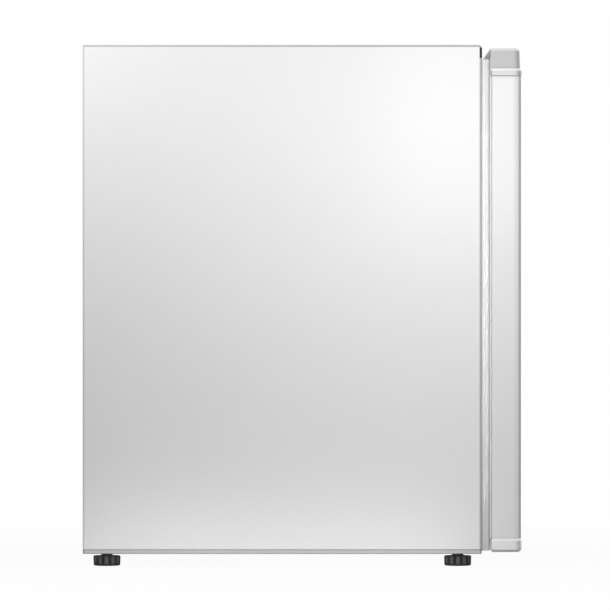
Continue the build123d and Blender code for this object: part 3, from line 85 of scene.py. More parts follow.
class Wiring:
    """Short hand for placing and joining shader nodes in one tree."""

    def __init__(self, tree: bpy.types.NodeTree) -> None:
        """Start on an emptied tree."""
        self.tree = tree
        tree.nodes.clear()

    def feed(self, target: Socket, value: object) -> None:
        """Join a socket to an input, or set the input to a plain value.

        Args:
            target: The input.
            value: A socket or a plain value.
        """
        if isinstance(value, bpy.types.NodeSocket):
            self.tree.links.new(value, target)
        else:
            target.default_value = value

    def add(self, kind: str, **sockets: object) -> bpy.types.Node:
        """Place a node and fill its inputs.

        Args:
            kind: Blender's name for the node type.
            sockets: Inputs by name, with underscores for spaces.

        Returns:
            The new node.
        """
        node = self.tree.nodes.new(kind)
        for name, value in sockets.items():
            self.feed(node.inputs[name.replace("_", " ")], value)
        return node

    def work(self, kind: str, operation: str, values: Sequence[object]) -> bpy.types.Node:
        """Place a node that reckons with numbers or vectors.

        Args:
            kind: Blender's name for the node type.
            operation: What it does.
            values: Its inputs, in order.

        Returns:
            The new node.
        """
        node = self.tree.nodes.new(kind)
        node.operation = operation
        for target, value in zip(node.inputs, values):
            self.feed(target, value)
        return node

    def maths(self, operation: str, first: object, second: object) -> Socket:
        """Join two numbers by one operation."""
        return self.work("ShaderNodeMath", operation, (first, second)).outputs[0]

    def vectors(self, operation: str, *values: object) -> Socket:
        """Work on vectors by one operation, some of which give a number."""
        result = "Value" if operation in ("DOT_PRODUCT", "LENGTH") else "Vector"
        return self.work("ShaderNodeVectorMath", operation, values).outputs[result]

    def span(self, value: Socket, source: tuple[object, object], target: Span) -> Socket:
        """Map a number from one span to another, held at the ends.

        Args:
            value: The number's socket.
            source: The two values between which it counts, as numbers or sockets.
            target: What those two become.

        Returns:
            The mapped number's socket.
        """
        ends = dict(zip(("From_Min", "From_Max", "To_Min", "To_Max"), (*source, *target)))
        return self.add("ShaderNodeMapRange", Value=value, **ends).outputs[0]

    def blend(self, factor: object, first: object, second: object) -> Socket:
        """Mix two colours.

        Args:
            factor: Share of the second colour.
            first: Colour at 0.
            second: Colour at 1.

        Returns:
            The mixed colour's socket.
        """
        node = self.tree.nodes.new("ShaderNodeMix")
        node.data_type = "RGBA"
        colours = [socket for socket in node.inputs if socket.type == "RGBA"]
        for target, value in zip((node.inputs[0], *colours), (factor, first, second)):
            self.feed(target, value)
        return next(socket for socket in node.outputs if socket.type == "RGBA")

    def coordinates(self, kind: str) -> Socket:
        """Texture coordinates of one kind."""
        return self.add("ShaderNodeTexCoord").outputs[kind]

    def noise(self, place: Socket, scale: object, detail: float, roughness: float = 0.5) -> Socket:
        """Noise over a place."""
        node = self.add("ShaderNodeTexNoise", Vector=place, Scale=scale, Detail=detail, Roughness=roughness)
        return node.outputs[0]

    def rounded(self, radius: object) -> Socket:
        """Normal that rounds sharp edges off.

        Args:
            radius: Radius of the rounding.

        Returns:
            The normal's socket.
        """
        bevel = self.add("ShaderNodeBevel", Radius=radius)
        bevel.samples = EDGE_SAMPLES
        return bevel.outputs[0]


class EffectGroup(Wiring):
    """Shader node group of one effect, which puts out masks and other numbers."""

    def __init__(self, name: str, inputs: dict[str, object], outputs: Sequence[str]) -> None:
        """Start the group.

        Args:
            name: The group's name.
            inputs: Default of each input, a number or a vector.
            outputs: Label of each output number.
        """
        tree = bpy.data.node_groups.new(name, "ShaderNodeTree")
        super().__init__(tree)
        for label, default in inputs.items():
            kind = "NodeSocketFloat" if isinstance(default, float) else "NodeSocketVector"
            tree.interface.new_socket(label, in_out="INPUT", socket_type=kind).default_value = default
        for label in outputs:
            tree.interface.new_socket(label, in_out="OUTPUT", socket_type="NodeSocketFloat")
        self.inlet = self.add("NodeGroupInput")
        self.outlet = self.add("NodeGroupOutput")

    def given(self, label: str) -> Socket:
        """Socket of one of the group's inputs."""
        return self.inlet.outputs[label]

    def put(self, label: str, value: Socket) -> None:
        """Feed one of the group's outputs."""
        self.feed(self.outlet.inputs[label], value)

    def ramp(self, value: Socket) -> None:
        """Put out a mask that grows as a value goes from Start to End."""
        self.put("Mask", self.span(value, (self.given("Start"), self.given("End")), WHOLE))

    def upward(self, normal: Socket) -> Socket:
        """How far a normal turns upwards."""
        return self.add("ShaderNodeSeparateXYZ", Vector=normal).outputs["Z"]

    def grain(self) -> None:
        """Fine relief and a slow drift of tone over the surface."""
        place = self.coordinates("Object")
        stretched = self.vectors("MULTIPLY", place, self.given("Stretch"))
        self.put("Height", self.noise(stretched, self.given("Scale"), detail=3.0, roughness=0.55))
        broad = self.noise(place, 11.0, detail=5.0, roughness=0.6)
        self.put("Tone", self.span(broad, (0.3, 0.7), WHOLE))

    def wear(self) -> None:
        """Mask of rubbed edges, broken up by noise."""
        flat = self.add("ShaderNodeNewGeometry").outputs["Normal"]
        agreement = self.vectors("DOT_PRODUCT", self.rounded(self.given("Radius")), flat)
        edge = self.span(agreement, (0.99, 0.86), WHOLE)
        noise = self.noise(self.coordinates("Object"), 160.0, detail=6.0)
        broken = self.span(noise, (0.45, 0.62), WHOLE)
        self.put("Mask", self.maths("MULTIPLY", edge, broken))

    def fold(self) -> None:
        """Mask of painted shade on the round folds between the flat faces of a boxy piece."""
        leaned = self.vectors("MULTIPLY", self.coordinates("Normal"), self.given("Lean"))
        sizes = self.vectors("ABSOLUTE", self.vectors("NORMALIZE", leaned))
        parts = self.add("ShaderNodeSeparateXYZ", Vector=sizes).outputs
        larger = self.maths("MAXIMUM", parts["X"], parts["Y"])
        self.ramp(self.maths("MAXIMUM", larger, parts["Z"]))

    def dust(self) -> None:
        """Mask of dust that lies on upward faces."""
        normal = self.add("ShaderNodeNewGeometry").outputs["Normal"]
        lying = self.span(self.upward(normal), (0.55, 0.95), WHOLE)
        noise = self.noise(self.coordinates("Object"), self.given("Scale"), detail=7.0)
        patches = self.span(noise, (0.4, 0.75), (0.15, 1.0))
        self.put("Mask", self.maths("MULTIPLY", lying, patches))

    def top_light(self) -> None:
        """Mask of painted light on faces that turn upwards."""
        self.ramp(self.upward(self.coordinates("Normal")))

    def crevice_shade(self) -> None:
        """Mask of narrow corners and grooves, where shade is painted in as a darker tone."""
        shelter = self.add("ShaderNodeAmbientOcclusion", Distance=self.given("Reach"))
        shelter.samples = CREVICE_SAMPLES
        self.put("Mask", self.span(shelter.outputs["AO"], (0.97, 0.7), WHOLE))

    def painted_band(self) -> None:
        """Mask of one end of a piece, by the share of its length along an axis, for a band of painted light
        or painted shade.
        """
        self.ramp(self.vectors("DOT_PRODUCT", self.coordinates("Generated"), self.given("Axis")))


class Effect(Enum):
    """Surface effects that finishes share: name, inputs and outputs of each node group."""

    GRAIN = ("Fine grain", {"Scale": 800.0, "Stretch": EVEN}, ("Height", "Tone"))
    WEAR = ("Edge wear", {"Radius": 1.0 * MM}, ("Mask",))
    # Painted shade: darkens round folds and bends by how far their normal turns from the axes.
    PAINTED_FOLD_SHADE = ("Painted fold shade", {"Start": 0.97, "End": 0.75, "Lean": EVEN}, ("Mask",))
    DUST = ("Settled dust", {"Scale": 45.0}, ("Mask",))
    # Painted light: lightens faces that turn upwards.
    PAINTED_TOP_LIGHT = ("Painted light on upper faces", {"Start": 0.05, "End": 0.3}, ("Mask",))
    # Painted shade: darkens crevices by their ambient occlusion.
    PAINTED_CREVICE_SHADE = ("Painted crevice shade", {"Reach": 4.0 * MM}, ("Mask",))
    # Painted tone over one end of a piece, used for painted light and for painted shade.
    PAINTED_BAND = ("Painted band across a piece", {"Axis": UP, "Start": 0.9, "End": 1.0}, ("Mask",))

    @functools.cached_property
    def group(self) -> bpy.types.NodeTree:
        """The node group, built on first use."""
        group = EffectGroup(*self.value)
        makers = {
            Effect.GRAIN: group.grain,
            Effect.WEAR: group.wear,
            Effect.PAINTED_FOLD_SHADE: group.fold,
            Effect.DUST: group.dust,
            Effect.PAINTED_TOP_LIGHT: group.top_light,
            Effect.PAINTED_CREVICE_SHADE: group.crevice_shade,
            Effect.PAINTED_BAND: group.painted_band,
        }
        makers[self]()
        return group.tree

    def place(self, wiring: Wiring, **sockets: object) -> bpy.types.Node:
        """Put this effect into a material.

        Args:
            wiring: The material's wiring.
            sockets: Inputs of the group by label.

        Returns:
            The group's node.
        """
        node = wiring.tree.nodes.new("ShaderNodeGroup")
        node.node_tree = self.group
        for label, value in sockets.items():
            wiring.feed(node.inputs[label], value)
        return node

    def mask(self, wiring: Wiring, **sockets: object) -> Socket:
        """Put this effect into a material and give its mask."""
        return self.place(wiring, **sockets).outputs["Mask"]


class Relief(Enum):
    """Fine relief of a surface: bumps per metre, and how they stretch along X, Y and Z."""

    ORANGE_PEEL = (620.0, EVEN)
    SPARK = (2400.0, EVEN)
    FORMED = (240.0, EVEN)
    ROLLED = (1500.0, (1.0, 0.04, 1.0))
    DRAWN = (1800.0, (1.0, 1.0, 0.05))
    CAST = (1100.0, EVEN)
    SOFT = (420.0, EVEN)
    CELLS = (330.0, EVEN)


@dataclass(frozen=True)
class PaintedBand:
    """Painted tone at one end of a piece: painted shade along a hem, painted light on a rim.

    Attributes:
        axis: Axis that the shares count along.
        start: Share of the length at which the tone starts.
        end: Share at which it is full.
        colour: The painted tone.
    """

    axis: Point
    start: float
    end: float
    colour: Colour


@dataclass(frozen=True)
class Finish:
    """One procedural finish and the record slot that it belongs to.

    Attributes:
        slot: Material slot of the record; not used by this script.
        title: Name of the Blender material.
        colour: Base colour, linear.
        roughness: Middle roughness.
        relief: Kind of fine relief.
        depth: Height of that relief.
        drift: Share by which the colour strays over the surface.
        gloss_drift: Share by which the roughness strays.
        metallic: 1 for bare metal.
        coat: Weight of a clear coat.
        clear: Share of light let through.
        ior: Index of refraction.
        soft_edge: Radius that sharp edges catch light with.
        dust: Share of dust on upward faces.
        wear: Share of rubbing on edges.
        wear_colour: Colour that shows where edges are rubbed.
        top_light: Share of painted light on upper faces.
        crevice_shade: Share of painted shade in narrow corners and grooves.
        painted_band: Band of painted light or painted shade at one end of the piece.
        fold: Share of painted shade on round folds.
        fold_span: Flatness at which that shade starts, and at which it is full.
        fold_lean: Weights of the normal, which move the shade towards the axis with the least.
    """

    slot: str
    title: str
    colour: Colour
    roughness: float
    relief: Relief
    depth: float
    drift: float = 0.03
    gloss_drift: float = 0.06
    metallic: float = 0.0
    coat: float = 0.0
    clear: float = 0.0
    ior: float = 1.5
    soft_edge: float = 0.5 * MM
    dust: float = 0.0
    wear: float = 0.0
    wear_colour: Colour = (0.55, 0.55, 0.55)
    # Painted light on upper faces.
    top_light: float = 0.0
    # Painted shade in narrow corners and grooves.
    crevice_shade: float = 0.0
    # Band of painted light or painted shade.
    painted_band: PaintedBand | None = None
    # Painted shade on round folds.
    fold: float = 0.0
    fold_span: Span = (0.97, 0.75)
    fold_lean: Point = EVEN

    @functools.cached_property
    def material(self) -> bpy.types.Material:
        """The Blender material, built on first use."""
        material = bpy.data.materials.new(self.title)
        material.use_nodes = True
        material.diffuse_color = opaque(self.colour)
        wiring = Wiring(material.node_tree)
        scale, stretch = self.relief.value
        grain = Effect.GRAIN.place(wiring, Scale=scale, Stretch=stretch)
        shader = wiring.add(
            "ShaderNodeBsdfPrincipled",
            Base_Color=self._colour(wiring, grain.outputs["Tone"]),
            Roughness=self._roughness(wiring, grain.outputs["Tone"]),
            Normal=self._normal(wiring, grain.outputs["Height"]),
            Metallic=self.metallic,
            IOR=self.ior,
            Coat_Weight=self.coat,
            Transmission_Weight=self.clear,
        )
        wiring.add("ShaderNodeOutputMaterial", Surface=shader.outputs[0])
        return material

    def _shaded(self, share: float) -> Colour:
        """The base colour, darkened to a share."""
        red, green, blue = self.colour
        return red * share, green * share, blue * share

    def _layers(self, wiring: Wiring) -> Iterator[tuple[Socket, float, Colour]]:
        """Effects that lie over the base colour, from the lowest up.

        Args:
            wiring: The material's wiring.

        Yields:
            The mask, weight and colour of an effect.
        """
        # Painted band: painted shade on the cabinet's rear edge, painted light on the cap's rim.
        if self.painted_band:
            ends = {"Start": self.painted_band.start, "End": self.painted_band.end}
            yield Effect.PAINTED_BAND.mask(wiring, Axis=self.painted_band.axis, **ends), 1.0, self.painted_band.colour
        # Painted shade on round folds and bends.
        if self.fold:
            ends = dict(zip(("Start", "End"), self.fold_span))
            yield Effect.PAINTED_FOLD_SHADE.mask(wiring, Lean=self.fold_lean, **ends), 1.0, self._shaded(1.0 - self.fold)
        # Painted light on upper faces.
        if self.top_light:
            red, green, blue = (channel + (1.0 - channel) * self.top_light for channel in self.colour)
            yield Effect.PAINTED_TOP_LIGHT.mask(wiring), 1.0, (red, green, blue)
        # Painted shade in crevices and grooves.
        if self.crevice_shade:
            yield Effect.PAINTED_CREVICE_SHADE.mask(wiring), self.crevice_shade, self._shaded(CREVICE_SHADE_FACTOR)
        if self.dust:
            yield Effect.DUST.mask(wiring), self.dust, DUST_COLOUR
        if self.wear:
            yield Effect.WEAR.mask(wiring, Radius=2.0 * self.soft_edge), self.wear, self.wear_colour

    def _colour(self, wiring: Wiring, tone: Socket) -> Socket:
        """Base colour with its drift and the effects that lie over it.

        Args:
            wiring: The material's wiring.
            tone: The drift of tone over the surface.

        Returns:
            The colour's socket.
        """
        colour = wiring.blend(tone, opaque(self.colour), opaque(self._shaded(1.0 - self.drift)))
        for mask, weight, over in self._layers(wiring):
            share = wiring.maths("MULTIPLY", mask, weight)
            colour = wiring.blend(share, colour, opaque(over))
        return colour

    def _roughness(self, wiring: Wiring, tone: Socket) -> Socket:
        """Roughness that strays with the tone."""
        spread = self.roughness * self.gloss_drift
        return wiring.span(tone, WHOLE, (self.roughness - spread, self.roughness + spread))

    def _normal(self, wiring: Wiring, height: Socket) -> Socket:
        """Normal with softened edges and the fine relief."""
        soft = wiring.rounded(self.soft_edge)
        return wiring.add("ShaderNodeBump", Distance=self.depth, Height=height, Normal=soft).outputs[0]

    def dress(self, *pieces: bpy.types.Object) -> None:
        """Give pieces this finish as their only material.

        Args:
            pieces: The pieces.
        """
        for piece in pieces:
            piece.data.materials.clear()
            piece.data.materials.append(self.material)


# Painted shade: a darker band along the wrap's rear edge and a darker tone on its round bends.
COATED_STEEL = Finish(
    "white_steel", "Coated sheet steel with painted edge shade", (0.86, 0.86, 0.865), 0.22, Relief.ORANGE_PEEL, 0.012 * MM,
    drift=0.012, coat=0.15, soft_edge=0.8 * MM, dust=0.05, fold=0.38, fold_span=(0.9995, 0.97),
    painted_band=PaintedBand(BACK, 0.9945, 0.998, (0.6, 0.6, 0.605)),
)
# Painted shade: darker round front corners and folds, darker crevices, and a colour a little darker than the
# cabinet's same steel.
DOOR_STEEL = Finish(
    "white_steel", "Door sheet steel with painted shade", (0.83, 0.83, 0.835), 0.2, Relief.ORANGE_PEEL, 0.01 * MM,
    drift=0.012, coat=0.2, soft_edge=0.4 * MM, dust=0.04, crevice_shade=0.9,
    fold=0.92, fold_span=(0.96, 0.74), fold_lean=(1.0, 0.5, 1.0),
)
# Painted light and shade: a darker copy of the white plastic, with painted light on upper faces and on the
# lower rim, and painted shade on folds and in crevices.
CAP_MOULDING = Finish(
    "white_plastic", "Door cap moulding with painted light and shade", (0.54, 0.54, 0.545), 0.38, Relief.SPARK, 0.014 * MM,
    drift=0.02, soft_edge=0.4 * MM, dust=0.06, top_light=0.8, fold=0.35, fold_span=(0.95, 0.75), crevice_shade=0.4,
    painted_band=PaintedBand(UP, 0.285, 0.27, (0.7, 0.7, 0.705)),
)
# The hinge cover keeps the cap's darker colour, painted light on upper faces and painted shade on folds and
# in crevices.
COVER_MOULDING = replace(CAP_MOULDING, title="Hinge cover moulding with painted light and shade", painted_band=None)
# Painted light: a lighter copy of the cap's white plastic, with painted light on upper faces and painted
# shade on folds and in crevices.
SILL_MOULDING = Finish(
    "white_plastic", "Door sill moulding with painted light and shade", (0.94, 0.94, 0.945), 0.36, Relief.SPARK, 0.014 * MM,
    drift=0.02, soft_edge=0.4 * MM, dust=0.06, top_light=0.8, fold=0.4, fold_span=(0.95, 0.75), crevice_shade=0.3,
)
WHITE_MOULDING = Finish(
    "white_plastic", "White moulding", (0.80, 0.80, 0.80), 0.42, Relief.SPARK, 0.016 * MM,
    drift=0.03, soft_edge=0.6 * MM, dust=0.05,
)
LINER_SHEET = Finish(
    "white_liner", "Formed liner", (0.84, 0.845, 0.84), 0.3, Relief.FORMED, 0.05 * MM,
    drift=0.02, soft_edge=1.2 * MM, dust=0.02,
)
CLEAR_MOULDING = Finish(
    "clear_plastic", "Clear moulding", (0.88, 0.94, 0.97), 0.1, Relief.FORMED, 0.02 * MM,
    drift=0.02, clear=0.82, ior=1.49, soft_edge=0.6 * MM,
)
SEAL_VINYL = Finish(
    "gasket_white", "Seal vinyl", (0.95, 0.95, 0.95), 0.45, Relief.SOFT, 0.01 * MM,
    drift=0.02, soft_edge=0.2 * MM,
)
# Painted shade: a darker tone on the frame's chamfered edges.
BASE_PAINT = Finish(
    "grey_steel", "Base frame paint with painted edge shade", (0.58, 0.58, 0.585), 0.36, Relief.ORANGE_PEEL, 0.014 * MM,
    drift=0.04, coat=0.2, soft_edge=0.3 * MM, dust=0.1, fold=0.7,
)
REAR_PAINT = Finish(
    "grey_steel", "Rear panel paint", (0.54, 0.54, 0.545), 0.36, Relief.ORANGE_PEEL, 0.014 * MM,
    drift=0.05, coat=0.2, soft_edge=0.4 * MM, dust=0.1, wear=0.3,
)
GALVANISED = Finish(
    "galvanised", "Galvanised sheet", (0.58, 0.59, 0.60), 0.42, Relief.CAST, 0.01 * MM,
    drift=0.12, gloss_drift=0.2, metallic=1.0, soft_edge=0.4 * MM, dust=0.08,
)
ZINC_PLATE = Finish(
    "zinc_steel", "Zinc plate", (0.72, 0.72, 0.70), 0.28, Relief.CAST, 0.008 * MM,
    drift=0.12, gloss_drift=0.25, metallic=1.0, soft_edge=0.3 * MM, wear=0.3, wear_colour=(0.84, 0.84, 0.83),
)
ALUMINIUM = Finish(
    "aluminium", "Roll-bond aluminium", (0.76, 0.77, 0.78), 0.36, Relief.ROLLED, 0.012 * MM,
    drift=0.1, gloss_drift=0.2, metallic=1.0,
)
COPPER = Finish(
    "copper", "Copper tube", (0.72, 0.37, 0.23), 0.3, Relief.DRAWN, 0.006 * MM,
    drift=0.35, gloss_drift=0.4, metallic=1.0, soft_edge=0.3 * MM, dust=0.1,
)
CAN_PAINT = Finish(
    "black_steel", "Compressor paint", (0.022, 0.022, 0.023), 0.34, Relief.ORANGE_PEEL, 0.03 * MM,
    drift=0.2, coat=0.25, soft_edge=0.6 * MM, dust=0.22, wear=0.35, wear_colour=(0.2, 0.2, 0.2),
)
BLACK_MOULDING = Finish(
    "black_plastic", "Black moulding", (0.026, 0.026, 0.027), 0.36, Relief.SPARK, 0.02 * MM,
    drift=0.2, soft_edge=0.4 * MM, dust=0.08, wear=0.25, wear_colour=(0.09, 0.09, 0.09),
)
# Painted shade in the knob's grooves and round its neck.
FOOT_MOULDING = Finish(
    "black_plastic", "Foot moulding with painted crevice shade", (0.165, 0.165, 0.167), 0.75, Relief.SPARK, 0.02 * MM,
    drift=0.2, ior=1.22, soft_edge=0.4 * MM, dust=0.08, wear=0.2, wear_colour=(0.1, 0.1, 0.1), crevice_shade=0.85,
)
BLACK_RUBBER = Finish(
    "black_rubber", "Black rubber", (0.02, 0.02, 0.02), 0.66, Relief.SOFT, 0.04 * MM, drift=0.3, dust=0.12,
)
MAGNET_STRIP = Finish("magnet", "Magnet strip", (0.06, 0.06, 0.06), 0.6, Relief.CAST, 0.02 * MM, drift=0.2)
POURED_FOAM = Finish(
    "foam", "Poured foam", (0.78, 0.66, 0.40), 0.82, Relief.CELLS, 0.4 * MM, drift=0.2, soft_edge=1.0 * MM,
)
DIPPED_WIRE = Finish(
    "wire_white", "Dipped wire", (0.84, 0.84, 0.84), 0.3, Relief.SOFT, 0.03 * MM, soft_edge=0.3 * MM,
)
DIAL_INK = Finish(
    "black_plastic", "Dial ink", (0.03, 0.05, 0.09), 0.5, Relief.SPARK, 0.004 * MM,
    drift=0.1, soft_edge=0.1 * MM,
)

NODE_FINISHES: dict[Finish, tuple[str, ...]] = {
    COATED_STEEL: ("outer_wrap",),
    DOOR_STEEL: ("door_skin",),
    CAP_MOULDING: ("door_top_cap",),
    COVER_MOULDING: ("top_hinge_cover",),
    SILL_MOULDING: ("door_bottom_cap",),
    WHITE_MOULDING: (
        "evaporator_hangers", "icebox_frame", "tray_rails", "thermostat_housing", "thermostat_knob",
        "door_bushes",
    ),
    LINER_SHEET: ("inner_liner", "door_liner"),
    CLEAR_MOULDING: ("icebox_flap", "drip_tray", "upper_door_bin", "lower_door_bin"),
    SEAL_VINYL: ("door_gasket",),
    BASE_PAINT: ("base_frame",),
    REAR_PAINT: ("rear_panel",),
    GALVANISED: ("bottom_panel",),
    ZINC_PLATE: (
        "hinge_tapping_plates", "foot_sockets", "thermostat_switch", "top_hinge_bracket", "top_hinge_pin",
        "bottom_hinge_bracket", "bottom_hinge_pin", *(f"foot_stud_{place}" for place in FOOT_PLACES),
    ),
    ALUMINIUM: ("evaporator_box", "sensing_clip"),
    COPPER: ("condenser_coil", "sensing_tube", "compressor_tubes", "filter_drier"),
    CAN_PAINT: ("compressor", "compressor_plate"),
    BLACK_MOULDING: ("relay_cover", "cord_gland"),
    FOOT_MOULDING: tuple(f"foot_knob_{place}" for place in FOOT_PLACES),
    BLACK_RUBBER: ("compressor_grommets",),
    MAGNET_STRIP: ("gasket_magnets",),
    POURED_FOAM: ("foam_insulation", "door_foam"),
    DIPPED_WIRE: ("wire_shelf",),
}


def in_mm(pairs: Profile) -> list[tuple[float, float]]:
    """Pairs of millimetres as metres."""
    return [(first * MM, second * MM) for first, second in pairs]


def turns_of(count: int) -> list[float]:
    """Equal steps round a full turn."""
    return [math.tau * step / count for step in range(count)]


def polar(radius: float, angle: float, z: float = 0.0) -> Vector:
    """Point at a radius and an angle about the Z axis."""
    return Vector((radius * math.cos(angle), radius * math.sin(angle), z))


class Shape:
    """Gathers closed forms into one mesh."""

    def __init__(self) -> None:
        """Start empty."""
        self.points: list[Vector] = []
        self.faces: list[tuple[int, ...]] = []

    def rings(self, rings: Sequence[Ring], looped: bool = False) -> "Shape":
        """Skin a row of equal rings with quads.

        Args:
            rings: Rings of points, in order along the form.
            looped: Join the last ring to the first instead of capping both ends.

        Returns:
            This shape, for chaining.
        """
        count = len(rings[0])
        start = len(self.points)
        for ring in rings:
            self.points += ring
        pairs = len(rings) if looped else len(rings) - 1
        for row in range(pairs):
            low = start + row * count
            high = start + (row + 1) % len(rings) * count
            for i in range(count):
                j = (i + 1) % count
                self.faces.append((low + i, low + j, high + j, high + i))
        if not looped:
            last = start + (len(rings) - 1) * count
            self.faces.append(tuple(start + i for i in reversed(range(count))))
            self.faces.append(tuple(last + i for i in range(count)))
        return self

    def turned(self, profile: Profile, place: Matrix = Matrix(), sides: int = 40) -> "Shape":
        """Turn a profile of radius and height about Z.

        Args:
            profile: Radius and height pairs from the bottom to the top.
            place: Where the turned form goes.
            sides: Points round it.

        Returns:
            This shape, for chaining.
        """
        turns = turns_of(sides)
        return self.rings([[place @ polar(r, a, z) for a in turns] for r, z in profile])

    def tube(self, path: Sequence[Vector], radius: float, sides: int = 16) -> "Shape":
        """Run a round section along a path.

        Args:
            path: Points along the middle of the tube.
            radius: Radius of the section.
            sides: Points round the section.

        Returns:
            This shape, for chaining.
        """
        turns = turns_of(sides)
        last = len(path) - 1
        side = (path[1] - path[0]).orthogonal()
        rings = []
        for i, here in enumerate(path):
            along = (path[min(i + 1, last)] - path[max(i - 1, 0)]).normalized()
            side = (side - along * side.dot(along)).normalized()
            other = along.cross(side)
            rings.append([here + (side * math.cos(a) + other * math.sin(a)) * radius for a in turns])
        return self.rings(rings)

    def mesh(self, name: str) -> bpy.types.Mesh:
        """Make the mesh, with outward normals.

        Args:
            name: Name of the mesh.

        Returns:
            The mesh.
        """
        mesh = bpy.data.meshes.new(name)
        mesh.from_pydata(self.points, [], self.faces)
        mesh.validate()
        work = bmesh.new()
        work.from_mesh(mesh)
        bmesh.ops.recalc_face_normals(work, faces=work.faces)
        work.to_mesh(mesh)
        work.free()
        return mesh


def piece_of(mesh: bpy.types.Mesh, name: str, crease: float = 35.0) -> bpy.types.Object:
    """Link a mesh as a smooth piece whose creases stay sharp.

    Args:
        mesh: The finished mesh.
        name: Name of the piece.
        crease: Angle in degrees above which an edge stays sharp.

    Returns:
        The new object.
    """
    mesh.polygons.foreach_set("use_smooth", [True] * len(mesh.polygons))
    mesh.set_sharp_from_angle(angle=math.radians(crease))
    piece = bpy.data.objects.new(name, mesh)
    bpy.context.scene.collection.objects.link(piece)
    return piece


def mount(piece: bpy.types.Object, body: str, finish: Finish, *nodes: str) -> None:
    """Dress a piece, let it ride on a body and stand for the nodes it replaces.

    Args:
        piece: The new piece, in place.
        body: Body that it moves with.
        finish: Its finish.
        nodes: CAD nodes that it stands for.
    """
    if not piece.data.materials:
        finish.dress(piece)
    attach(piece, body)
    if nodes:
        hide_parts(*nodes)
    LOG.info("%s rides on %s", piece.name, body)


def add_piece(shape: Shape, name: str, body: str, finish: Finish, *nodes: str, crease: float = 35.0) -> None:
    """Make a piece of a shape and mount it."""
    mount(piece_of(shape.mesh(name), name, crease), body, finish, *nodes)


def evaluated(holder: bpy.types.Object) -> bpy.types.Mesh:
    """Mesh of an object with its modifiers or text applied."""
    return bpy.data.meshes.new_from_object(holder.evaluated_get(bpy.context.evaluated_depsgraph_get()))


def carved(body: bpy.types.Mesh, cutter: bpy.types.Mesh) -> bpy.types.Mesh:
    """Cut one closed mesh out of another.

    Args:
        body: Mesh that keeps the rest.
        cutter: Mesh that is taken away.

    Returns:
        The cut mesh.
    """
    held = piece_of(body, "carving_body")
    tool = piece_of(cutter, "carving_tool")
    boolean = held.modifiers.new("cut", "BOOLEAN")
    boolean.operation = "DIFFERENCE"
    boolean.solver = "EXACT"
    boolean.use_self = True
    boolean.object = tool
    result = evaluated(held)
    bpy.data.objects.remove(held)
    bpy.data.objects.remove(tool)
    return result


def lettering(marks: Sequence[tuple[str, Matrix]], size: float, thickness: float) -> Shape:
    """Flat raised characters joined into one shape.

    Args:
        marks: Each character and where it stands.
        size: Height of the characters.
        thickness: Half of their thickness.

    Returns:
        The joined shape.
    """
    shape = Shape()
    for mark, place in marks:
        curve = bpy.data.curves.new("mark", "FONT")
        curve.body = mark
        curve.size = size
        curve.align_x = "CENTER"
        curve.align_y = "CENTER"
        curve.extrude = thickness
        holder = bpy.data.objects.new("mark", curve)
        bpy.context.scene.collection.objects.link(holder)
        flat = evaluated(holder)
        start = len(shape.points)
        shape.points += [place @ vertex.co for vertex in flat.vertices]
        shape.faces += [tuple(start + i for i in polygon.vertices) for polygon in flat.polygons]
        bpy.data.objects.remove(holder)
    return shape


def bent(points: Iterable[Point], radius: float, steps: int = 8) -> list[Vector]:
    """Path of straight runs joined by arcs.

    Args:
        points: Corners of the route, with its two ends.
        radius: Bend radius.
        steps: Points in each arc.

    Returns:
        Points along the path.
    """
    corners = [Vector(point) for point in points]
    path = [corners[0]]
    for before, here, after in zip(corners, corners[1:], corners[2:]):
        back = (before - here).normalized()
        on = (after - here).normalized()
        half = back.angle(on) / 2
        middle = here + (back + on).normalized() * radius / math.sin(half)
        arm = here + back * radius / math.tan(half) - middle
        axis = back.cross(on)
        sweep = math.pi - 2 * half
        path += [middle + Matrix.Rotation(-sweep * k / steps, 3, axis) @ arm for k in range(steps + 1)]
    path.append(corners[-1])
    return path


def facing(place: Sequence[float], direction: Point) -> Matrix:
    """Matrix that stands a piece made along +Z at a place, pointing in a direction."""
    turn = Vector(UP).rotation_difference(Vector(direction))
    return Matrix.Translation(Vector(place)) @ turn.to_matrix().to_4x4()


def rounded_ring(size: Span, radius: float, height: float, steps: int = 8) -> Ring:
    """Ring of a rectangle with round corners, about the Z axis.

    Args:
        size: Length along X and width along Y.
        radius: Corner radius.
        height: Z of the ring.
        steps: Points in each corner, less one.

    Returns:
        The ring's points, anticlockwise.
    """
    half_x, half_y = size[0] / 2 - radius, size[1] / 2 - radius
    ring = []
    for quarter, (sx, sy) in enumerate(((1, 1), (-1, 1), (-1, -1), (1, -1))):
        corner = Vector((sx * half_x, sy * half_y, height))
        for k in range(steps + 1):
            ring.append(corner + polar(radius, (quarter + k / steps) * math.pi / 2))
    return ring


def stacked(size: Span, radius: float, levels: Profile, steps: int = 8) -> list[Ring]:
    """Rings of a rectangle with round corners, drawn in by an inset at each level.

    Args:
        size: Length along X and width along Y without inset.
        radius: Corner radius without inset.
        levels: Inset and height of each ring.
        steps: Points in each corner, less one.

    Returns:
        The rings from the first level to the last.
    """
    long, wide = size
    return [rounded_ring((long - 2 * cut, wide - 2 * cut), radius - cut, z, steps) for cut, z in levels]


def moved(rings: Iterable[Ring], place: Matrix) -> list[Ring]:
    """Rings carried to a place."""
    return [[place @ point for point in ring] for ring in rings]


def foot_of(node: str) -> Vector:
    """Middle of the underside of a node's box."""
    low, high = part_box(node)
    return Vector(((low.x + high.x) / 2, (low.y + high.y) / 2, low.z))


class Drive(Enum):
    """How a fastener's head is driven."""

    CROSS = "cross"
    HEX = "hex"


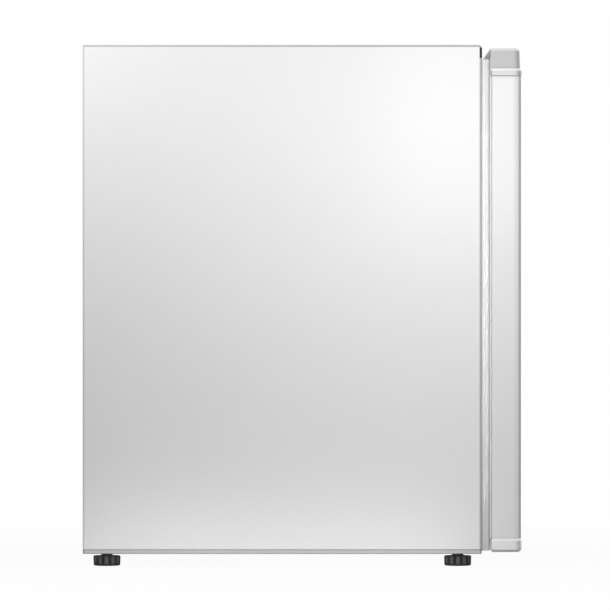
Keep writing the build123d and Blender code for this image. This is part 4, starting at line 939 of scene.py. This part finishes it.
@dataclass(frozen=True)
class Fastener:
    """Small screw or bolt, shown by its head, which is sunk a little into its surface."""

    radius: float
    height: float
    drive: Drive
    sunk: float = 0.1 * MM

    @functools.cached_property
    def mesh(self) -> bpy.types.Mesh:
        """Head standing on Z = 0, made once for all copies."""
        return self._hexagon() if self.drive is Drive.HEX else self._pan()

    def _pan(self) -> bpy.types.Mesh:
        """Domed head with a cross recess.

        Returns:
            The mesh.
        """
        r, h = self.radius, self.height
        dome = [(0.96 * r, -self.sunk), (r, 0.12 * h)]
        for angle in (0.05, 0.4, 0.75, 1.1, 1.35, 1.52):
            dome.append((r * math.cos(angle), 0.35 * h + 0.65 * h * math.sin(angle)))
        head = Shape().turned(dome, sides=32)
        low = rounded_ring((0.95 * r, 0.22 * r), 0.05 * r, 0.35 * h, steps=1)
        high = rounded_ring((1.15 * r, 0.3 * r), 0.05 * r, 1.2 * h, steps=1)
        cross = Shape()
        for turn in (0.0, math.pi / 2):
            cross.rings(moved((low, high), Matrix.Rotation(turn, 4, "Z")))
        return carved(head.mesh("pan_head"), cross.mesh("pan_cross"))

    def _hexagon(self) -> bpy.types.Mesh:
        """Hexagon head with a washer face under it.

        Returns:
            The mesh.
        """
        r, h = self.radius, self.height
        washer = [(1.32 * r, -self.sunk), (1.38 * r, 0.08 * h), (1.38 * r, 0.2 * h), (1.3 * r, 0.24 * h)]
        shape = Shape().turned(washer, sides=36)
        shape.turned([(r, 0.22 * h), (r, 0.9 * h), (0.86 * r, h)], sides=6)
        return shape.mesh("hexagon_head")

    def drive_in(self, name: str, place: Sequence[float], direction: Point) -> None:
        """Set one zinc-plated fastener into the cabinet.

        Args:
            name: Name of the piece.
            place: Point on the surface under its head.
            direction: Way that the head faces.
        """
        piece = piece_of(self.mesh, name, crease=30.0)
        piece.matrix_world = facing(place, direction)
        mount(piece, "cabinet", ZINC_PLATE)


@dataclass
class Cabinet:
    """Steel cabinet: the screws that hold its rear panel, and a thin black strip that paints shade on its
    top front edge.

    Attributes:
        screw: Screw of the rear panel.
        edge: Screw line inside the panel's edge.
        rows: Screw heights as shares of the panel's height.
        columns: Screw places along the top edge as shares of its half width.
        setback: Panel's face inside the wrap's rear edge.
        bend: Radius of the cabinet's front edge.
        shade_strip: Thickness, height and reach along the front of the black strip of painted shade.
        shade_strip_arc: Angles at which the strip starts and ends on the bend, in degrees.
        shade_strip_stops: Sections along the front as shares of the reach.
        shade_strip_drop: Strip's top under the bend above it.
        shade_strip_lift: Gap between the strip and the sheet.
    """

    screw: Fastener = Fastener(3.4 * MM, 1.9 * MM, Drive.CROSS)
    edge: float = 6.0 * MM
    rows: tuple[float, ...] = (0.06, 0.36, 0.66, 0.9)
    columns: tuple[float, ...] = (-0.55, 0.0, 0.55)
    setback: float = 2.4 * MM
    bend: float = 2.5 * MM
    shade_strip: tuple[float, float, float] = (0.4 * MM, 10.0 * MM, 14.0 * MM)
    shade_strip_arc: Span = (192.0, 270.0)
    shade_strip_stops: tuple[float, ...] = (0.5, 0.94, 1.0)
    shade_strip_drop: float = 0.1 * MM
    shade_strip_lift: float = 0.03 * MM

    def build(self) -> None:
        """Add the screws and the black strip of painted shade."""
        self.rear_screws()
        self.front_edge_shade_strip()

    def front_edge_shade_strip(self) -> None:
        """Thin black strip bent round the top front edge, which paints a dark line of shade there."""
        low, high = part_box("outer_wrap")
        thick, tall, reach = self.shade_strip
        centre = Vector((low.x + self.bend, low.y + self.bend, 0.0))
        first, last = self.shade_strip_arc
        steps = 8
        turns = [math.radians(first + (last - first) * k / steps) for k in range(steps + 1)]
        route = [(polar(1.0, a), centre) for a in turns]
        route += [(Vector(FRONT), centre + Vector((share * reach, 0.0, 0.0))) for share in self.shade_strip_stops]
        foot = high.z - self.bend - self.shade_strip_drop - tall
        skin = self.bend + self.shade_strip_lift
        chamfer, taper = 0.4 * thick, 0.3 * thick
        rings = []
        for number, (out, place) in enumerate(route):
            cut = taper if number in (0, len(route) - 1) else 0.0
            edge = [(skin, 0.0), (skin + thick - chamfer, 0.0), (skin + thick - cut, chamfer)]
            section = edge + [(r, tall - z) for r, z in reversed(edge)]
            rings.append([place + out * r + Vector((0.0, 0.0, foot + z)) for r, z in section])
        # The strip is a dark sheet put where the front edge is in shade.
        add_piece(Shape().rings(rings), "front_edge_shade_strip", "cabinet", BLACK_RUBBER, crease=40.0)

    def rear_screws(self) -> None:
        """Put the rear panel's screws in."""
        low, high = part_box("rear_panel")
        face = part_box("outer_wrap")[1].y - self.setback
        sides = (low.x + self.edge, high.x - self.edge)
        places = [(x, low.z + share * (high.z - low.z)) for share in self.rows for x in sides]
        places += [(share * high.x, high.z - self.edge) for share in self.columns]
        for number, (x, z) in enumerate(places, 1):
            self.screw.drive_in(f"rear_panel_screw_{number:02d}", (x, face, z), BACK)


@dataclass
class Door:
    """Door: the folded seal round its back.

    Attributes:
        width: Breadth of the seal's base.
        head: Breadth of the magnet head.
        ribs: Start and end of each soft rib, as shares of the seal's free height.
        arc: Places of a rib's points between its start at -1 and its end at 1.
        fold: Depth of the folds between ribs.
        lip: Inset and height share of each point of the base's inner edge.
    """

    width: float = 17.0 * MM
    head: float = 12.0 * MM
    ribs: tuple[Span, ...] = ((0.0, 0.12), (0.14, 0.5), (0.52, 0.87), (0.89, 1.0))
    arc: tuple[float, ...] = (-1.0, -0.94, -0.7, 0.0, 0.7, 0.94, 1.0)
    fold: float = 0.8 * MM
    lip: tuple[Span, ...] = ((0.4 * MM, 0.12), (0.0, 0.08), (0.0, 0.0))

    def build(self) -> None:
        """Build the seal in place of its plain solid."""
        low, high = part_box("door_gasket")
        rise = high.y - low.y
        outer = self.side(rise)
        base_rib = len(self.arc)
        inner = [(self.head - inset, v) for inset, v in reversed(outer[base_rib:])]
        inner += [(self.width - inset, share * rise) for inset, share in self.lip]
        ends = (
            (low.x, low.z, 1, 1), (low.x, high.z, 1, -1), (high.x, high.z, -1, -1), (high.x, low.z, -1, 1),
        )
        rings = [
            [Vector((x + sx * u, low.y + v, z + sz * u)) for u, v in outer + inner] for x, z, sx, sz in ends
        ]
        seal = Shape().rings(rings, looped=True)
        add_piece(seal, "door_seal", "door", SEAL_VINYL, "door_gasket", crease=60.0)

    def side(self, rise: float) -> list[Span]:
        """Outer side of the seal, as inset from its edge and height.

        Args:
            rise: Free height of the seal.

        Returns:
            Points from the base to the head.
        """
        points = []
        for start, end in self.ribs:
            for step in self.arc:
                share = (start + end + (end - start) * step) / 2
                points.append((self.fold * (1 - math.sqrt(1 - step * step)), share * rise))
        return points


@dataclass
class Hinges:
    """Hinges: the screws that hold the lower bracket, inset from its pad's free end and back edge."""

    screw: Fastener = Fastener(3.6 * MM, 1.8 * MM, Drive.CROSS)
    insets: tuple[Span, ...] = ((9.0 * MM, 11.0 * MM), (9.0 * MM, 26.0 * MM), (34.0 * MM, 11.0 * MM))
    pad: float = 2.2 * MM

    def build(self) -> None:
        """Put the lower bracket's screws in."""
        low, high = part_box("bottom_hinge_bracket")
        for number, (across, back) in enumerate(self.insets, 1):
            place = (low.x + across, high.y - back, high.z - self.pad)
            self.screw.drive_in(f"lower_hinge_screw_{number}", place, DOWN)


@dataclass
class Shelf:
    """Shelf of welded round wire, given by the radii of its wires and of the rim's front bends.

    The rim keeps a clearance inside the solid's sides, and the rods overhang the middle of its wire.
    """

    rim_wire: float = 2.5 * MM
    rod_wire: float = 1.5 * MM
    rods: int = 11
    rim_bend: float = 14.0 * MM
    clearance: float = 0.4 * MM
    overhang: float = 1.0 * MM

    def build(self) -> None:
        """Build the wires in place of the plain solid."""
        low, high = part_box("wire_shelf")
        half = high.x - self.rim_wire - self.clearance
        front, back = low.y + self.rim_wire, high.y - self.rim_wire
        z = low.z + self.rim_wire
        rim = [(-half, back, z), (-half, front, z), (half, front, z), (half, back, z)]
        shape = Shape().tube(bent(rim, self.rim_bend), self.rim_wire)
        for y in (back, (front + back) / 2):
            shape.tube([Vector((-half, y, z)), Vector((half, y, z))], self.rim_wire)
        rod_z = high.z - self.rod_wire
        reach = half - self.rim_bend
        for i in range(self.rods):
            x = reach * (2 * i / (self.rods - 1) - 1)
            ends = (front - self.overhang, back + self.overhang)
            shape.tube([Vector((x, y, rod_z)) for y in ends], self.rod_wire)
        add_piece(shape, "shelf_wires", "shelf", DIPPED_WIRE, "wire_shelf")


@dataclass
class Thermostat:
    """Thermostat: fluted dial with figures, the mark on its housing and the sensing tube.

    Figures stand at a share of the dial's radius, raised by their thickness on both sides of their lift,
    and take up the sweep in degrees. The pointer has a half width, a length and a thickness.
    """

    skirt: float = 5.0 * MM
    flutes: int = 36
    flute_depth: float = 0.35 * MM
    grip: Span = (8.0 * MM, 21.0 * MM)
    grip_corner: float = 3.4 * MM
    figures: str = "01234567"
    figure_height: float = 4.2 * MM
    figure_thickness: float = 0.04 * MM
    figure_lift: float = 0.02 * MM
    figure_share: float = 0.74
    sweep: float = 300.0
    pointer: tuple[float, float, float] = (2.2 * MM, 4.6 * MM, 0.15 * MM)
    pointer_gap: float = 1.6 * MM
    tube_radius: float = 1.2 * MM
    tube_bend: float = 9.0 * MM

    def build(self) -> None:
        """Build the dial, its marks and the tube."""
        low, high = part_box("thermostat_knob")
        middle = Vector(((low.x + high.x) / 2, high.y, (low.z + high.z) / 2))
        radius, depth = (high.x - low.x) / 2, high.y - low.y
        self.dial(middle, radius, depth)
        self.dial_figures(middle, radius)
        self.dial_pointer(middle.x, high.z)
        self.tube()

    def dial(self, middle: Vector, radius: float, depth: float) -> None:
        """Fluted dial with a grip bar.

        Args:
            middle: Middle of the dial's back.
            radius: Radius of the dial.
            depth: Depth with the grip bar.
        """
        front = facing(middle, FRONT)
        skirt = self.skirt
        turns = turns_of(4 * self.flutes)
        cuts = [self.flute_depth * (0.5 + 0.5 * math.cos(self.flutes * a)) for a in turns]
        rim = ((0.97, 0.0), (1.0, 0.6 * MM), (1.0, skirt - 1.2 * MM), (0.95, skirt - 0.2 * MM), (0.9, skirt))
        rings = [[polar(radius * share - cut, a, z) for cut, a in zip(cuts, turns)] for share, z in rim]
        levels = (
            (0.0, skirt - 0.3 * MM), (0.2 * MM, depth - 2.0 * MM), (0.8 * MM, depth - 0.4 * MM),
            (1.8 * MM, depth),
        )
        shape = Shape().rings(moved(rings, front))
        shape.rings(moved(stacked(self.grip, self.grip_corner, levels), front))
        add_piece(shape, "thermostat_dial", "knob", WHITE_MOULDING, "thermostat_knob")

    def dial_figures(self, middle: Vector, radius: float) -> None:
        """Figures round the skirt's face.

        Args:
            middle: Middle of the dial's back.
            radius: Radius of the dial.
        """
        face = Matrix.Translation((middle.x, middle.y - self.skirt - self.figure_lift, middle.z))
        out = Matrix.Translation((0.0, radius * self.figure_share, 0.0))
        upright = Matrix.Rotation(math.pi / 2, 4, "X")
        marks = []
        for number, mark in enumerate(self.figures):
            turn = math.radians(self.sweep) * number / (len(self.figures) - 1)
            marks.append((mark, face @ upright @ Matrix.Rotation(turn, 4, "Z") @ out))
        shape = lettering(marks, self.figure_height, self.figure_thickness)
        add_piece(shape, "dial_numbers", "knob", DIAL_INK)

    def dial_pointer(self, x: float, top: float) -> None:
        """Wedge on the housing that the figures are read against.

        Args:
            x: Middle of the dial.
            top: Top of the dial.
        """
        half, length, thick = self.pointer
        wedge = [Vector((0.0, 0.0, 0.0)), Vector((half, length, 0.0)), Vector((-half, length, 0.0))]
        raised = [point + Vector((0.0, 0.0, thick)) for point in wedge]
        place = Matrix.Translation((x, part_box("thermostat_housing")[0].y, top + self.pointer_gap))
        place = place @ Matrix.Rotation(math.pi / 2, 4, "X")
        add_piece(Shape().rings(moved((wedge, raised), place)), "dial_pointer", "cabinet", DIAL_INK)

    def tube(self) -> None:
        """Sensing tube bent from the switch to the evaporator's side."""
        low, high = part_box("sensing_tube")
        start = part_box("thermostat_switch")[1].y
        r = self.tube_radius
        right, left, back, top = high.x - r, low.x + r, high.y - r, high.z - r
        route = [(right, start, top), (right, back, top), (left, back, top), (left, back, low.z)]
        shape = Shape().tube(bent(route, self.tube_bend), r, sides=12)
        add_piece(shape, "sensing_capillary", "cabinet", COPPER, "sensing_tube")


@dataclass
class CompressorBay:
    """Compressor bay: domed can on rubber, copper circuit, drier and gland.

    Profiles are pairs of millimetres.

    Attributes:
        bolt: Bolt of the can's mounts.
        mounts: Mount places from the can's middle, along X and Y.
        plate: Thickness of the can's foot plate.
        plate_corner: Corner radius of that plate.
        plate_margin: Solid's depth beyond that of the plate.
        can: Length and width of the can at its seam.
        can_corner: Corner radius there.
        can_foot: Inset and height above the plate, from the foot up.
        can_seam: Inset and height from the weld seam.
        seam_share: Weld seam height as a share of the can.
        dome: Depth and inset of the can's rounded top.
        grommet: Radius in millimetres and share of the height of a rubber mount.
        pipe: Radius of the refrigerant tubes.
        pipe_bend: Their bend radius.
        pipe_root: Start of a tube from the can's middle.
        collar: Radius and height of the collar at its start.
        collar_root: Start of the collar from the can's middle.
        drier_profile: Radius and height of the drier.
        capillary: Radius of the capillary tube.
        coil: Radius, pitch and turns of its coil.
        coil_offset: Coil's start from the drier's foot.
        lead: Height of the capillary's start above the drier's foot, its drop under it and its sag.
        tail: Way back of the capillary's last bend and of its end, and the height of that bend.
        gland_profile: Radius and height of the cord bush, outside and back down its bore.
    """

    bolt: Fastener = Fastener(4.6 * MM, 4.6 * MM, Drive.HEX)
    mounts: Span = (78.0 * MM, 38.0 * MM)
    plate: float = 3.5 * MM
    plate_corner: float = 14.0 * MM
    plate_margin: float = 6.0 * MM
    can: Span = (150.0 * MM, 100.0 * MM)
    can_corner: float = 46.0 * MM
    can_foot: Profile = ((9.0, 0.0), (4.0, 2.5), (1.6, 8.0), (1.0, 18.0))
    can_seam: Profile = (
        (1.0, -6.0), (0.2, -4.6), (0.0, -4.0), (0.0, -0.8), (0.3, 0.0), (3.0, 0.2), (3.2, 1.5),
    )
    seam_share: float = 0.55
    dome: Span = (30.0 * MM, 36.0 * MM)
    grommet: Profile = (
        (7.8, 0.0), (8.5, 0.04), (8.6, 0.2), (8.2, 0.28), (6.3, 0.36), (6.0, 0.5), (6.3, 0.64), (8.2, 0.72),
        (8.6, 0.8), (8.5, 0.96), (7.8, 1.0),
    )
    pipe: float = 3.2 * MM
    pipe_bend: float = 12.0 * MM
    pipe_root: float = 68.0 * MM
    collar: Profile = ((4.6, 0.0), (4.6, 3.0), (3.4, 5.0))
    collar_root: float = 71.0 * MM
    drier_profile: Profile = (
        (2.0, 0.0), (2.1, 14.0), (2.4, 16.5), (4.5, 19.5), (7.4, 23.0), (8.6, 27.0), (8.7, 30.0),
        (8.4, 30.6), (8.4, 31.4), (8.7, 32.0), (8.7, 74.0), (8.4, 74.6), (8.4, 75.4), (8.7, 76.0),
        (8.6, 79.0), (7.4, 83.0), (4.5, 86.5), (2.5, 89.5), (2.3, 92.0), (2.3, 106.0),
    )
    capillary: float = 1.1 * MM
    coil: tuple[float, float, int] = (15.0 * MM, 2.8 * MM, 3)
    coil_offset: Point = (-34.0 * MM, 0.0, 20.0 * MM)
    lead: tuple[float, float, float] = (3.0 * MM, 6.0 * MM, 7.0 * MM)
    tail: tuple[float, float, float] = (4.0 * MM, 6.0 * MM, 6.0 * MM)
    gland_profile: Profile = (
        (6.0, 0.0), (6.0, 0.9), (5.4, 1.3), (6.0, 1.8), (6.0, 2.6), (5.4, 3.0), (6.0, 3.5), (5.8, 4.6),
        (5.3, 7.4), (4.9, 8.0), (3.8, 8.0), (3.8, 0.0),
    )

    def build(self) -> None:
        """Build the bay's pieces."""
        self.compressor_can()
        self.compressor_bolts()
        self.rubber_mounts()
        self.tubes()
        self.drier()
        self.gland()

    def compressor_can(self) -> None:
        """Pressed can with a weld seam on its foot plate."""
        low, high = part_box("compressor")
        place = Matrix.Translation(foot_of("compressor"))
        top = high.z - low.z
        seam = self.plate + (top - self.plate) * self.seam_share
        outline = [(cut, self.plate + z) for cut, z in in_mm(self.can_foot)]
        outline += [(cut, seam + z) for cut, z in in_mm(self.can_seam)]
        shoulder = outline[-1][0]
        depth, inset = self.dome
        steps = 12
        for step in range(steps + 1):
            angle = math.pi / 2 * step / steps
            outline.append((shoulder + inset * (1 - math.cos(angle)), top - depth * (1 - math.sin(angle))))
        edge, soft = 0.5 * MM, 0.6 * MM
        sheet = ((edge, 0.0), (0.0, soft), (0.0, self.plate - soft), (edge, self.plate))
        feet = (high.x - low.x, high.y - low.y - self.plate_margin)
        shape = Shape().rings(moved(stacked(feet, self.plate_corner, sheet), place))
        shape.rings(moved(stacked(self.can, self.can_corner, outline, steps), place))
        add_piece(shape, "compressor_can", "cabinet", CAN_PAINT, "compressor", crease=40.0)

    def spots(self, foot: Vector, lift: float = 0.0) -> list[Vector]:
        """Places of the four mounts round the middle of a foot, lifted by a height."""
        across, back = self.mounts
        return [foot + Vector((sx * across, sy * back, lift)) for sx, sy in CORNERS]

    def compressor_bolts(self) -> None:
        """Bolts through the can's foot plate."""
        for number, spot in enumerate(self.spots(foot_of("compressor"), self.plate), 1):
            self.bolt.drive_in(f"compressor_bolt_{number}", spot, UP)

    def rubber_mounts(self) -> None:
        """Waisted rubber mounts under the can."""
        low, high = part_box("compressor_grommets")
        profile = [(r * MM, share * (high.z - low.z)) for r, share in self.grommet]
        shape = Shape()
        for spot in self.spots(foot_of("compressor_grommets")):
            shape.turned(profile, Matrix.Translation(spot), sides=32)
        add_piece(shape, "rubber_mounts", "cabinet", BLACK_RUBBER, "compressor_grommets", crease=50.0)

    def tubes(self) -> None:
        """Suction and discharge tubes with soft bends."""
        low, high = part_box("compressor_tubes")
        can_low, can_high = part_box("compressor")
        middle = (can_low.x + can_high.x) / 2
        y, shoulder = (low.y + high.y) / 2, low.z + self.pipe
        shape = Shape()
        for side, riser in ((-1.0, low.x + self.pipe), (1.0, high.x - self.pipe)):
            root = (middle + side * self.pipe_root, y, shoulder)
            shape.tube(bent([root, (riser, y, shoulder), (riser, y, high.z)], self.pipe_bend), self.pipe)
            collar = facing((middle + side * self.collar_root, y, shoulder), (side, 0.0, 0.0))
            shape.turned(in_mm(self.collar), collar, sides=24)
        add_piece(shape, "suction_and_discharge", "cabinet", COPPER, "compressor_tubes")

    def drier(self) -> None:
        """Spun copper drier with its capillary coil."""
        foot = foot_of("filter_drier")
        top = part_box("filter_drier")[1].z
        shape = Shape().turned(in_mm(self.drier_profile), Matrix.Translation(foot), sides=32)
        above, under, sag = self.lead
        radius, pitch, turns = self.coil
        centre = foot + Vector(self.coil_offset)
        path = [foot + Vector((0.0, 0.0, above)), foot - Vector((0.0, 0.0, under))]
        drop, coil_start = path[1], centre + polar(radius, 0.0)
        lead_steps, coil_steps = 7, 24
        for share in (k / lead_steps for k in range(1, lead_steps)):
            path.append(drop.lerp(coil_start, share) - Vector((0.0, 0.0, sag * math.sin(math.pi * share))))
        for turn in (k / coil_steps for k in range(turns * coil_steps + 1)):
            path.append(centre + polar(radius, math.tau * turn, pitch * turn))
        end = path[-1]
        near, far, rise = self.tail
        path += [end + Vector((0.0, near, rise)), Vector((end.x, end.y + far, top))]
        shape.tube(path, self.capillary, sides=10)
        add_piece(shape, "drier_and_capillary", "cabinet", COPPER, "filter_drier", crease=45.0)

    def gland(self) -> None:
        """Ribbed cord bush, open through its middle."""
        low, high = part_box("cord_gland")
        place = facing(((low.x + high.x) / 2, low.y, (low.z + high.z) / 2), BACK)
        profile = in_mm(self.gland_profile)
        rings = [[place @ polar(r, a, z) for r, z in profile] for a in turns_of(32)]
        bush = Shape().rings(rings, looped=True)
        add_piece(bush, "cord_bush", "cabinet", BLACK_MOULDING, "cord_gland", crease=40.0)


@dataclass
class Foot:
    """Levelling foot: grooved knob on a threaded stud.

    Attributes:
        place: Name of the corner it stands at.
        grooves: Grooves round the knob.
        groove_depth: Depth of a groove.
        groove_width: Half of the angle that a groove takes, in degrees.
        disc: Height of the grooved disc under the neck.
        sole: Inset and height in millimetres and groove share, from the floor up.
        crown: The same for the disc's top, with heights from it.
        neck: Radius of the neck.
        bore: Radius of the hole for the stud.
        blind: Height of that hole's end.
        pitch: Thread pitch.
        crest: Radius at the thread's crest.
        root: Radius at the thread's root.
    """

    place: str
    grooves: int = 12
    groove_depth: float = 2.4 * MM
    groove_width: float = 6.5
    disc: float = 9.6 * MM
    sole: tuple[Point, ...] = (
        (4.0, 0.0, 0.0), (1.5, 0.05, 0.3), (0.7, 0.3, 0.8), (0.35, 0.8, 1.0), (0.2, 2.0, 1.0),
    )
    crown: tuple[Point, ...] = (
        (0.0, -1.2, 1.0), (0.15, -0.5, 1.0), (0.6, -0.05, 0.9), (1.3, 0.0, 0.6), (3.4, -0.2, 0.0),
        (6.4, -0.2, 0.0),
    )
    neck: float = 5.4 * MM
    bore: float = 4.05 * MM
    blind: float = 2.7 * MM
    pitch: float = 1.25 * MM
    crest: float = 4.0 * MM
    root: float = 3.35 * MM

    def build(self) -> None:
        """Build the knob and its stud."""
        self.knob()
        self.stud()

    def knob(self) -> None:
        """Grooved knob with a rounded sole, a dished top and a neck."""
        low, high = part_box(f"foot_knob_{self.place}")
        radius, tall = (high.x - low.x) / 2, high.z - low.z
        points_per_groove = 14
        points = points_per_groove * self.grooves
        turns = [math.tau * (i / points + 0.5 / self.grooves) for i in range(points)]
        levels = [(cut * MM, z * MM, share) for cut, z, share in self.sole]
        levels += [(cut * MM, self.disc + z * MM, share) for cut, z, share in self.crown]
        rings = []
        for cut, z, share in levels:
            rings.append([polar(radius - cut - share * self.groove(a), a, z) for a in turns])
        neck, disc = self.neck, self.disc
        stem = (
            (neck + 0.6 * MM, disc - 0.15 * MM), (neck, disc + 0.4 * MM), (neck, tall - 0.3 * MM),
            (neck - 0.3 * MM, tall), (self.bore, tall), (self.bore, self.blind),
        )
        rings += [[polar(r, a, z) for a in turns] for r, z in stem]
        name = f"levelling_foot_{self.place}"
        knob = Shape().rings(moved(rings, Matrix.Translation(foot_of(f"foot_knob_{self.place}"))))
        add_piece(knob, name, f"foot_{self.place}", FOOT_MOULDING, f"foot_knob_{self.place}", crease=50.0)

    def groove(self, angle: float) -> float:
        """Depth of the grooving at an angle, with a groove half a step from every rib.

        Args:
            angle: Angle round the knob.

        Returns:
            The depth.
        """
        step = math.tau / self.grooves
        off = math.degrees(abs(angle % step - step / 2))
        return self.groove_depth * math.cos(math.pi / 2 * min(1.0, off / self.groove_width)) ** 0.5

    def stud(self) -> None:
        """Stud with its thread."""
        low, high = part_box(f"foot_stud_{self.place}")
        foot = foot_of(f"foot_stud_{self.place}")
        length = high.z - low.z
        sides, levels = 20, 4
        count = int(length / self.pitch * levels)
        rings = []
        for z in (length * level / count for level in range(count + 1)):
            fade = min(1.0, z / self.pitch, (length - z) / self.pitch)
            ring = []
            for a in turns_of(sides):
                phase = (z / self.pitch - a / math.tau) % 1.0
                r = self.root + (self.crest - self.root) * fade * (1.0 - abs(2.0 * phase - 1.0))
                ring.append(foot + polar(r, a, z))
            rings.append(ring)
        name = f"threaded_stud_{self.place}"
        stud = Shape().rings(rings)
        add_piece(stud, name, f"stud_{self.place}", ZINC_PLATE, f"foot_stud_{self.place}", crease=80.0)


@dataclass(frozen=True)
class Lamp:
    """Soft box of the studio, with its breadth and height, its power in watts and its beam in degrees."""

    name: str
    place: Point
    aim: Point
    size: Span
    power: float
    beam: float = 180.0

    def hang(self) -> None:
        """Add the lamp, hidden from the camera and from mirror images."""
        light = bpy.data.lights.new(self.name, "AREA")
        light.shape = "RECTANGLE"
        light.size, light.size_y = self.size
        light.energy = self.power
        light.spread = math.radians(self.beam)
        lamp = bpy.data.objects.new(self.name, light)
        lamp.location = self.place
        lamp.rotation_euler = (Vector(self.aim) - Vector(self.place)).to_track_quat("-Z", "Y").to_euler()
        lamp.visible_camera = False
        lamp.visible_glossy = False
        bpy.context.scene.collection.objects.link(lamp)


@dataclass(frozen=True)
class LampRow:
    """Row of narrow lamps along the gap of the door seal, fainter towards both ends.

    Attributes:
        place: Middle of the row.
        count: Number of lamps.
        size: Breadth and length of the row.
        power: Power of a lamp in the middle, in watts.
        beam: Angle of the beams in degrees.
    """

    place: Point = (-0.3, -0.1765, 0.24)
    count: int = 9
    size: Span = (0.006, 0.36)
    power: float = 0.00023
    beam: float = 8.0

    def hang(self) -> None:
        """Add the lamps from the bottom to the top."""
        x, y, middle = self.place
        breadth, length = self.size
        face = (breadth, length / self.count)
        for number in range(self.count):
            along = (2 * number + 1) / self.count - 1
            z = middle + along * length / 2
            power = self.power * math.sqrt(1 - along * along)
            Lamp(f"seal_lamp_{number + 1}", (x, y, z), (0.0, y, z), face, power, self.beam).hang()


@dataclass
class Studio:
    """White studio: camera, floor, backdrop light and soft boxes.

    Attributes:
        distance: Camera to the near side of the cabinet.
        field: Breadth of that side's plane in the picture.
        centre: Point of that plane in the middle of the picture, along Y and Z.
        sensor: Width of the camera's sensor in millimetres.
        ambient: Strength of the light from all round.
        floor_reach: Half of the floor's side.
        floor_colour: Shade of the floor.
        floor_glow: Share of plain white that the camera sees on the floor round the object.
        floor_fade: Distances between which that share grows to all of it.
        lamps: Soft boxes.
    """

    distance: float = 4.5
    field: float = 0.5847
    centre: Span = (-0.00244, 0.2506)
    sensor: float = 36.0
    ambient: float = 0.27
    floor_reach: float = 14.0
    floor_colour: Colour = (0.55, 0.55, 0.55)
    floor_glow: float = 0.955
    floor_fade: Span = (0.3, 0.8)
    lamps: tuple[Lamp | LampRow, ...] = (
        Lamp("key_box", (-0.6, -0.192, 0.44), (-0.22, -0.13, 0.372), (0.22, 0.24), 1.1),
        Lamp("upper_box", (-0.5, 0.35, 0.65), (-0.22, 0.14, 0.4), (0.4, 0.2), 1.22),
        Lamp("floor_strip", (-0.29, 0.03, 0.01), (-0.22, 0.03, 0.02), (0.385, 0.014), 0.05),
        Lamp("door_box", (0.9, -2.2, 1.3), (0.0, -0.2, 0.3), (1.2, 1.2), 32.0),
        Lamp("rear_box", (1.6, 1.6, 1.5), (0.0, 0.1, 0.25), (1.4, 1.4), 22.0),
        LampRow(),
    )

    def build(self) -> None:
        """Set the studio up."""
        bpy.context.scene.view_settings.view_transform = "Standard"
        self.camera()
        self.floor()
        self.world()
        for lamp in self.lamps:
            lamp.hang()

    def camera(self) -> None:
        """Camera level with the middle of the left side."""
        lens = bpy.data.cameras.new("side_camera")
        lens.sensor_width = self.sensor
        lens.lens = self.sensor * self.distance / self.field
        camera = bpy.data.objects.new("side_camera", lens)
        near_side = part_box("outer_wrap")[0].x
        camera.location = (near_side - self.distance, *self.centre)
        camera.rotation_euler = (math.pi / 2, 0.0, -math.pi / 2)
        bpy.context.scene.collection.objects.link(camera)
        bpy.context.scene.camera = camera

    def floor(self) -> None:
        """Pale floor that keeps a soft contact shadow."""
        mesh = bpy.data.meshes.new("floor")
        corners = [(sx * self.floor_reach, sy * self.floor_reach, 0.0) for sx, sy in CORNERS]
        mesh.from_pydata(corners, [], [(0, 1, 2, 3)])
        floor = bpy.data.objects.new("floor", mesh)
        bpy.context.scene.collection.objects.link(floor)
        material = bpy.data.materials.new("Studio floor")
        material.use_nodes = True
        wiring = Wiring(material.node_tree)
        away = wiring.vectors("LENGTH", wiring.coordinates("Object"))
        white = wiring.span(away, self.floor_fade, (self.floor_glow, 1.0))
        mix = wiring.add("ShaderNodeMixShader", Fac=wiring.maths("MULTIPLY", self._seen(wiring), white))
        diffuse = wiring.add("ShaderNodeBsdfDiffuse", Color=opaque(self.floor_colour))
        glow = wiring.add("ShaderNodeEmission", Strength=1.0)
        wiring.feed(mix.inputs[1], diffuse.outputs[0])
        wiring.feed(mix.inputs[2], glow.outputs[0])
        wiring.add("ShaderNodeOutputMaterial", Surface=mix.outputs[0])
        mesh.materials.append(material)

    def world(self) -> None:
        """White backdrop that lights the object gently."""
        world = bpy.data.worlds.new("White studio")
        world.use_nodes = True
        bpy.context.scene.world = world
        wiring = Wiring(world.node_tree)
        strength = wiring.span(self._seen(wiring), WHOLE, (self.ambient, 1.0))
        background = wiring.add("ShaderNodeBackground", Color=opaque(EVEN), Strength=strength)
        wiring.add("ShaderNodeOutputWorld", Surface=background.outputs[0])

    def _seen(self, wiring: Wiring) -> Socket:
        """Tell rays that show the backdrop itself, in the picture, a reflection or through glass.

        Args:
            wiring: Wiring of the floor or the world.

        Returns:
            Socket that is 1 for those rays.
        """
        path = wiring.add("ShaderNodeLightPath")
        shown = wiring.maths("MAXIMUM", path.outputs["Is Camera Ray"], path.outputs["Is Glossy Ray"])
        return wiring.maths("MAXIMUM", shown, path.outputs["Is Transmission Ray"])


def main() -> None:
    """Dress the frame, then add the pieces and the studio."""
    logging.basicConfig(level=logging.INFO, format="%(name)s: %(message)s")
    for finish, names in NODE_FINISHES.items():
        finish.dress(*(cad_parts[name] for name in names))
    feet = [Foot(place) for place in FOOT_PLACES]
    for assembly in (*feet, Cabinet(), Door(), Hinges(), Shelf(), Thermostat(), CompressorBay(), Studio()):
        assembly.build()
        LOG.info("%s done", type(assembly).__name__)


if __name__ == "__main__":
    main()
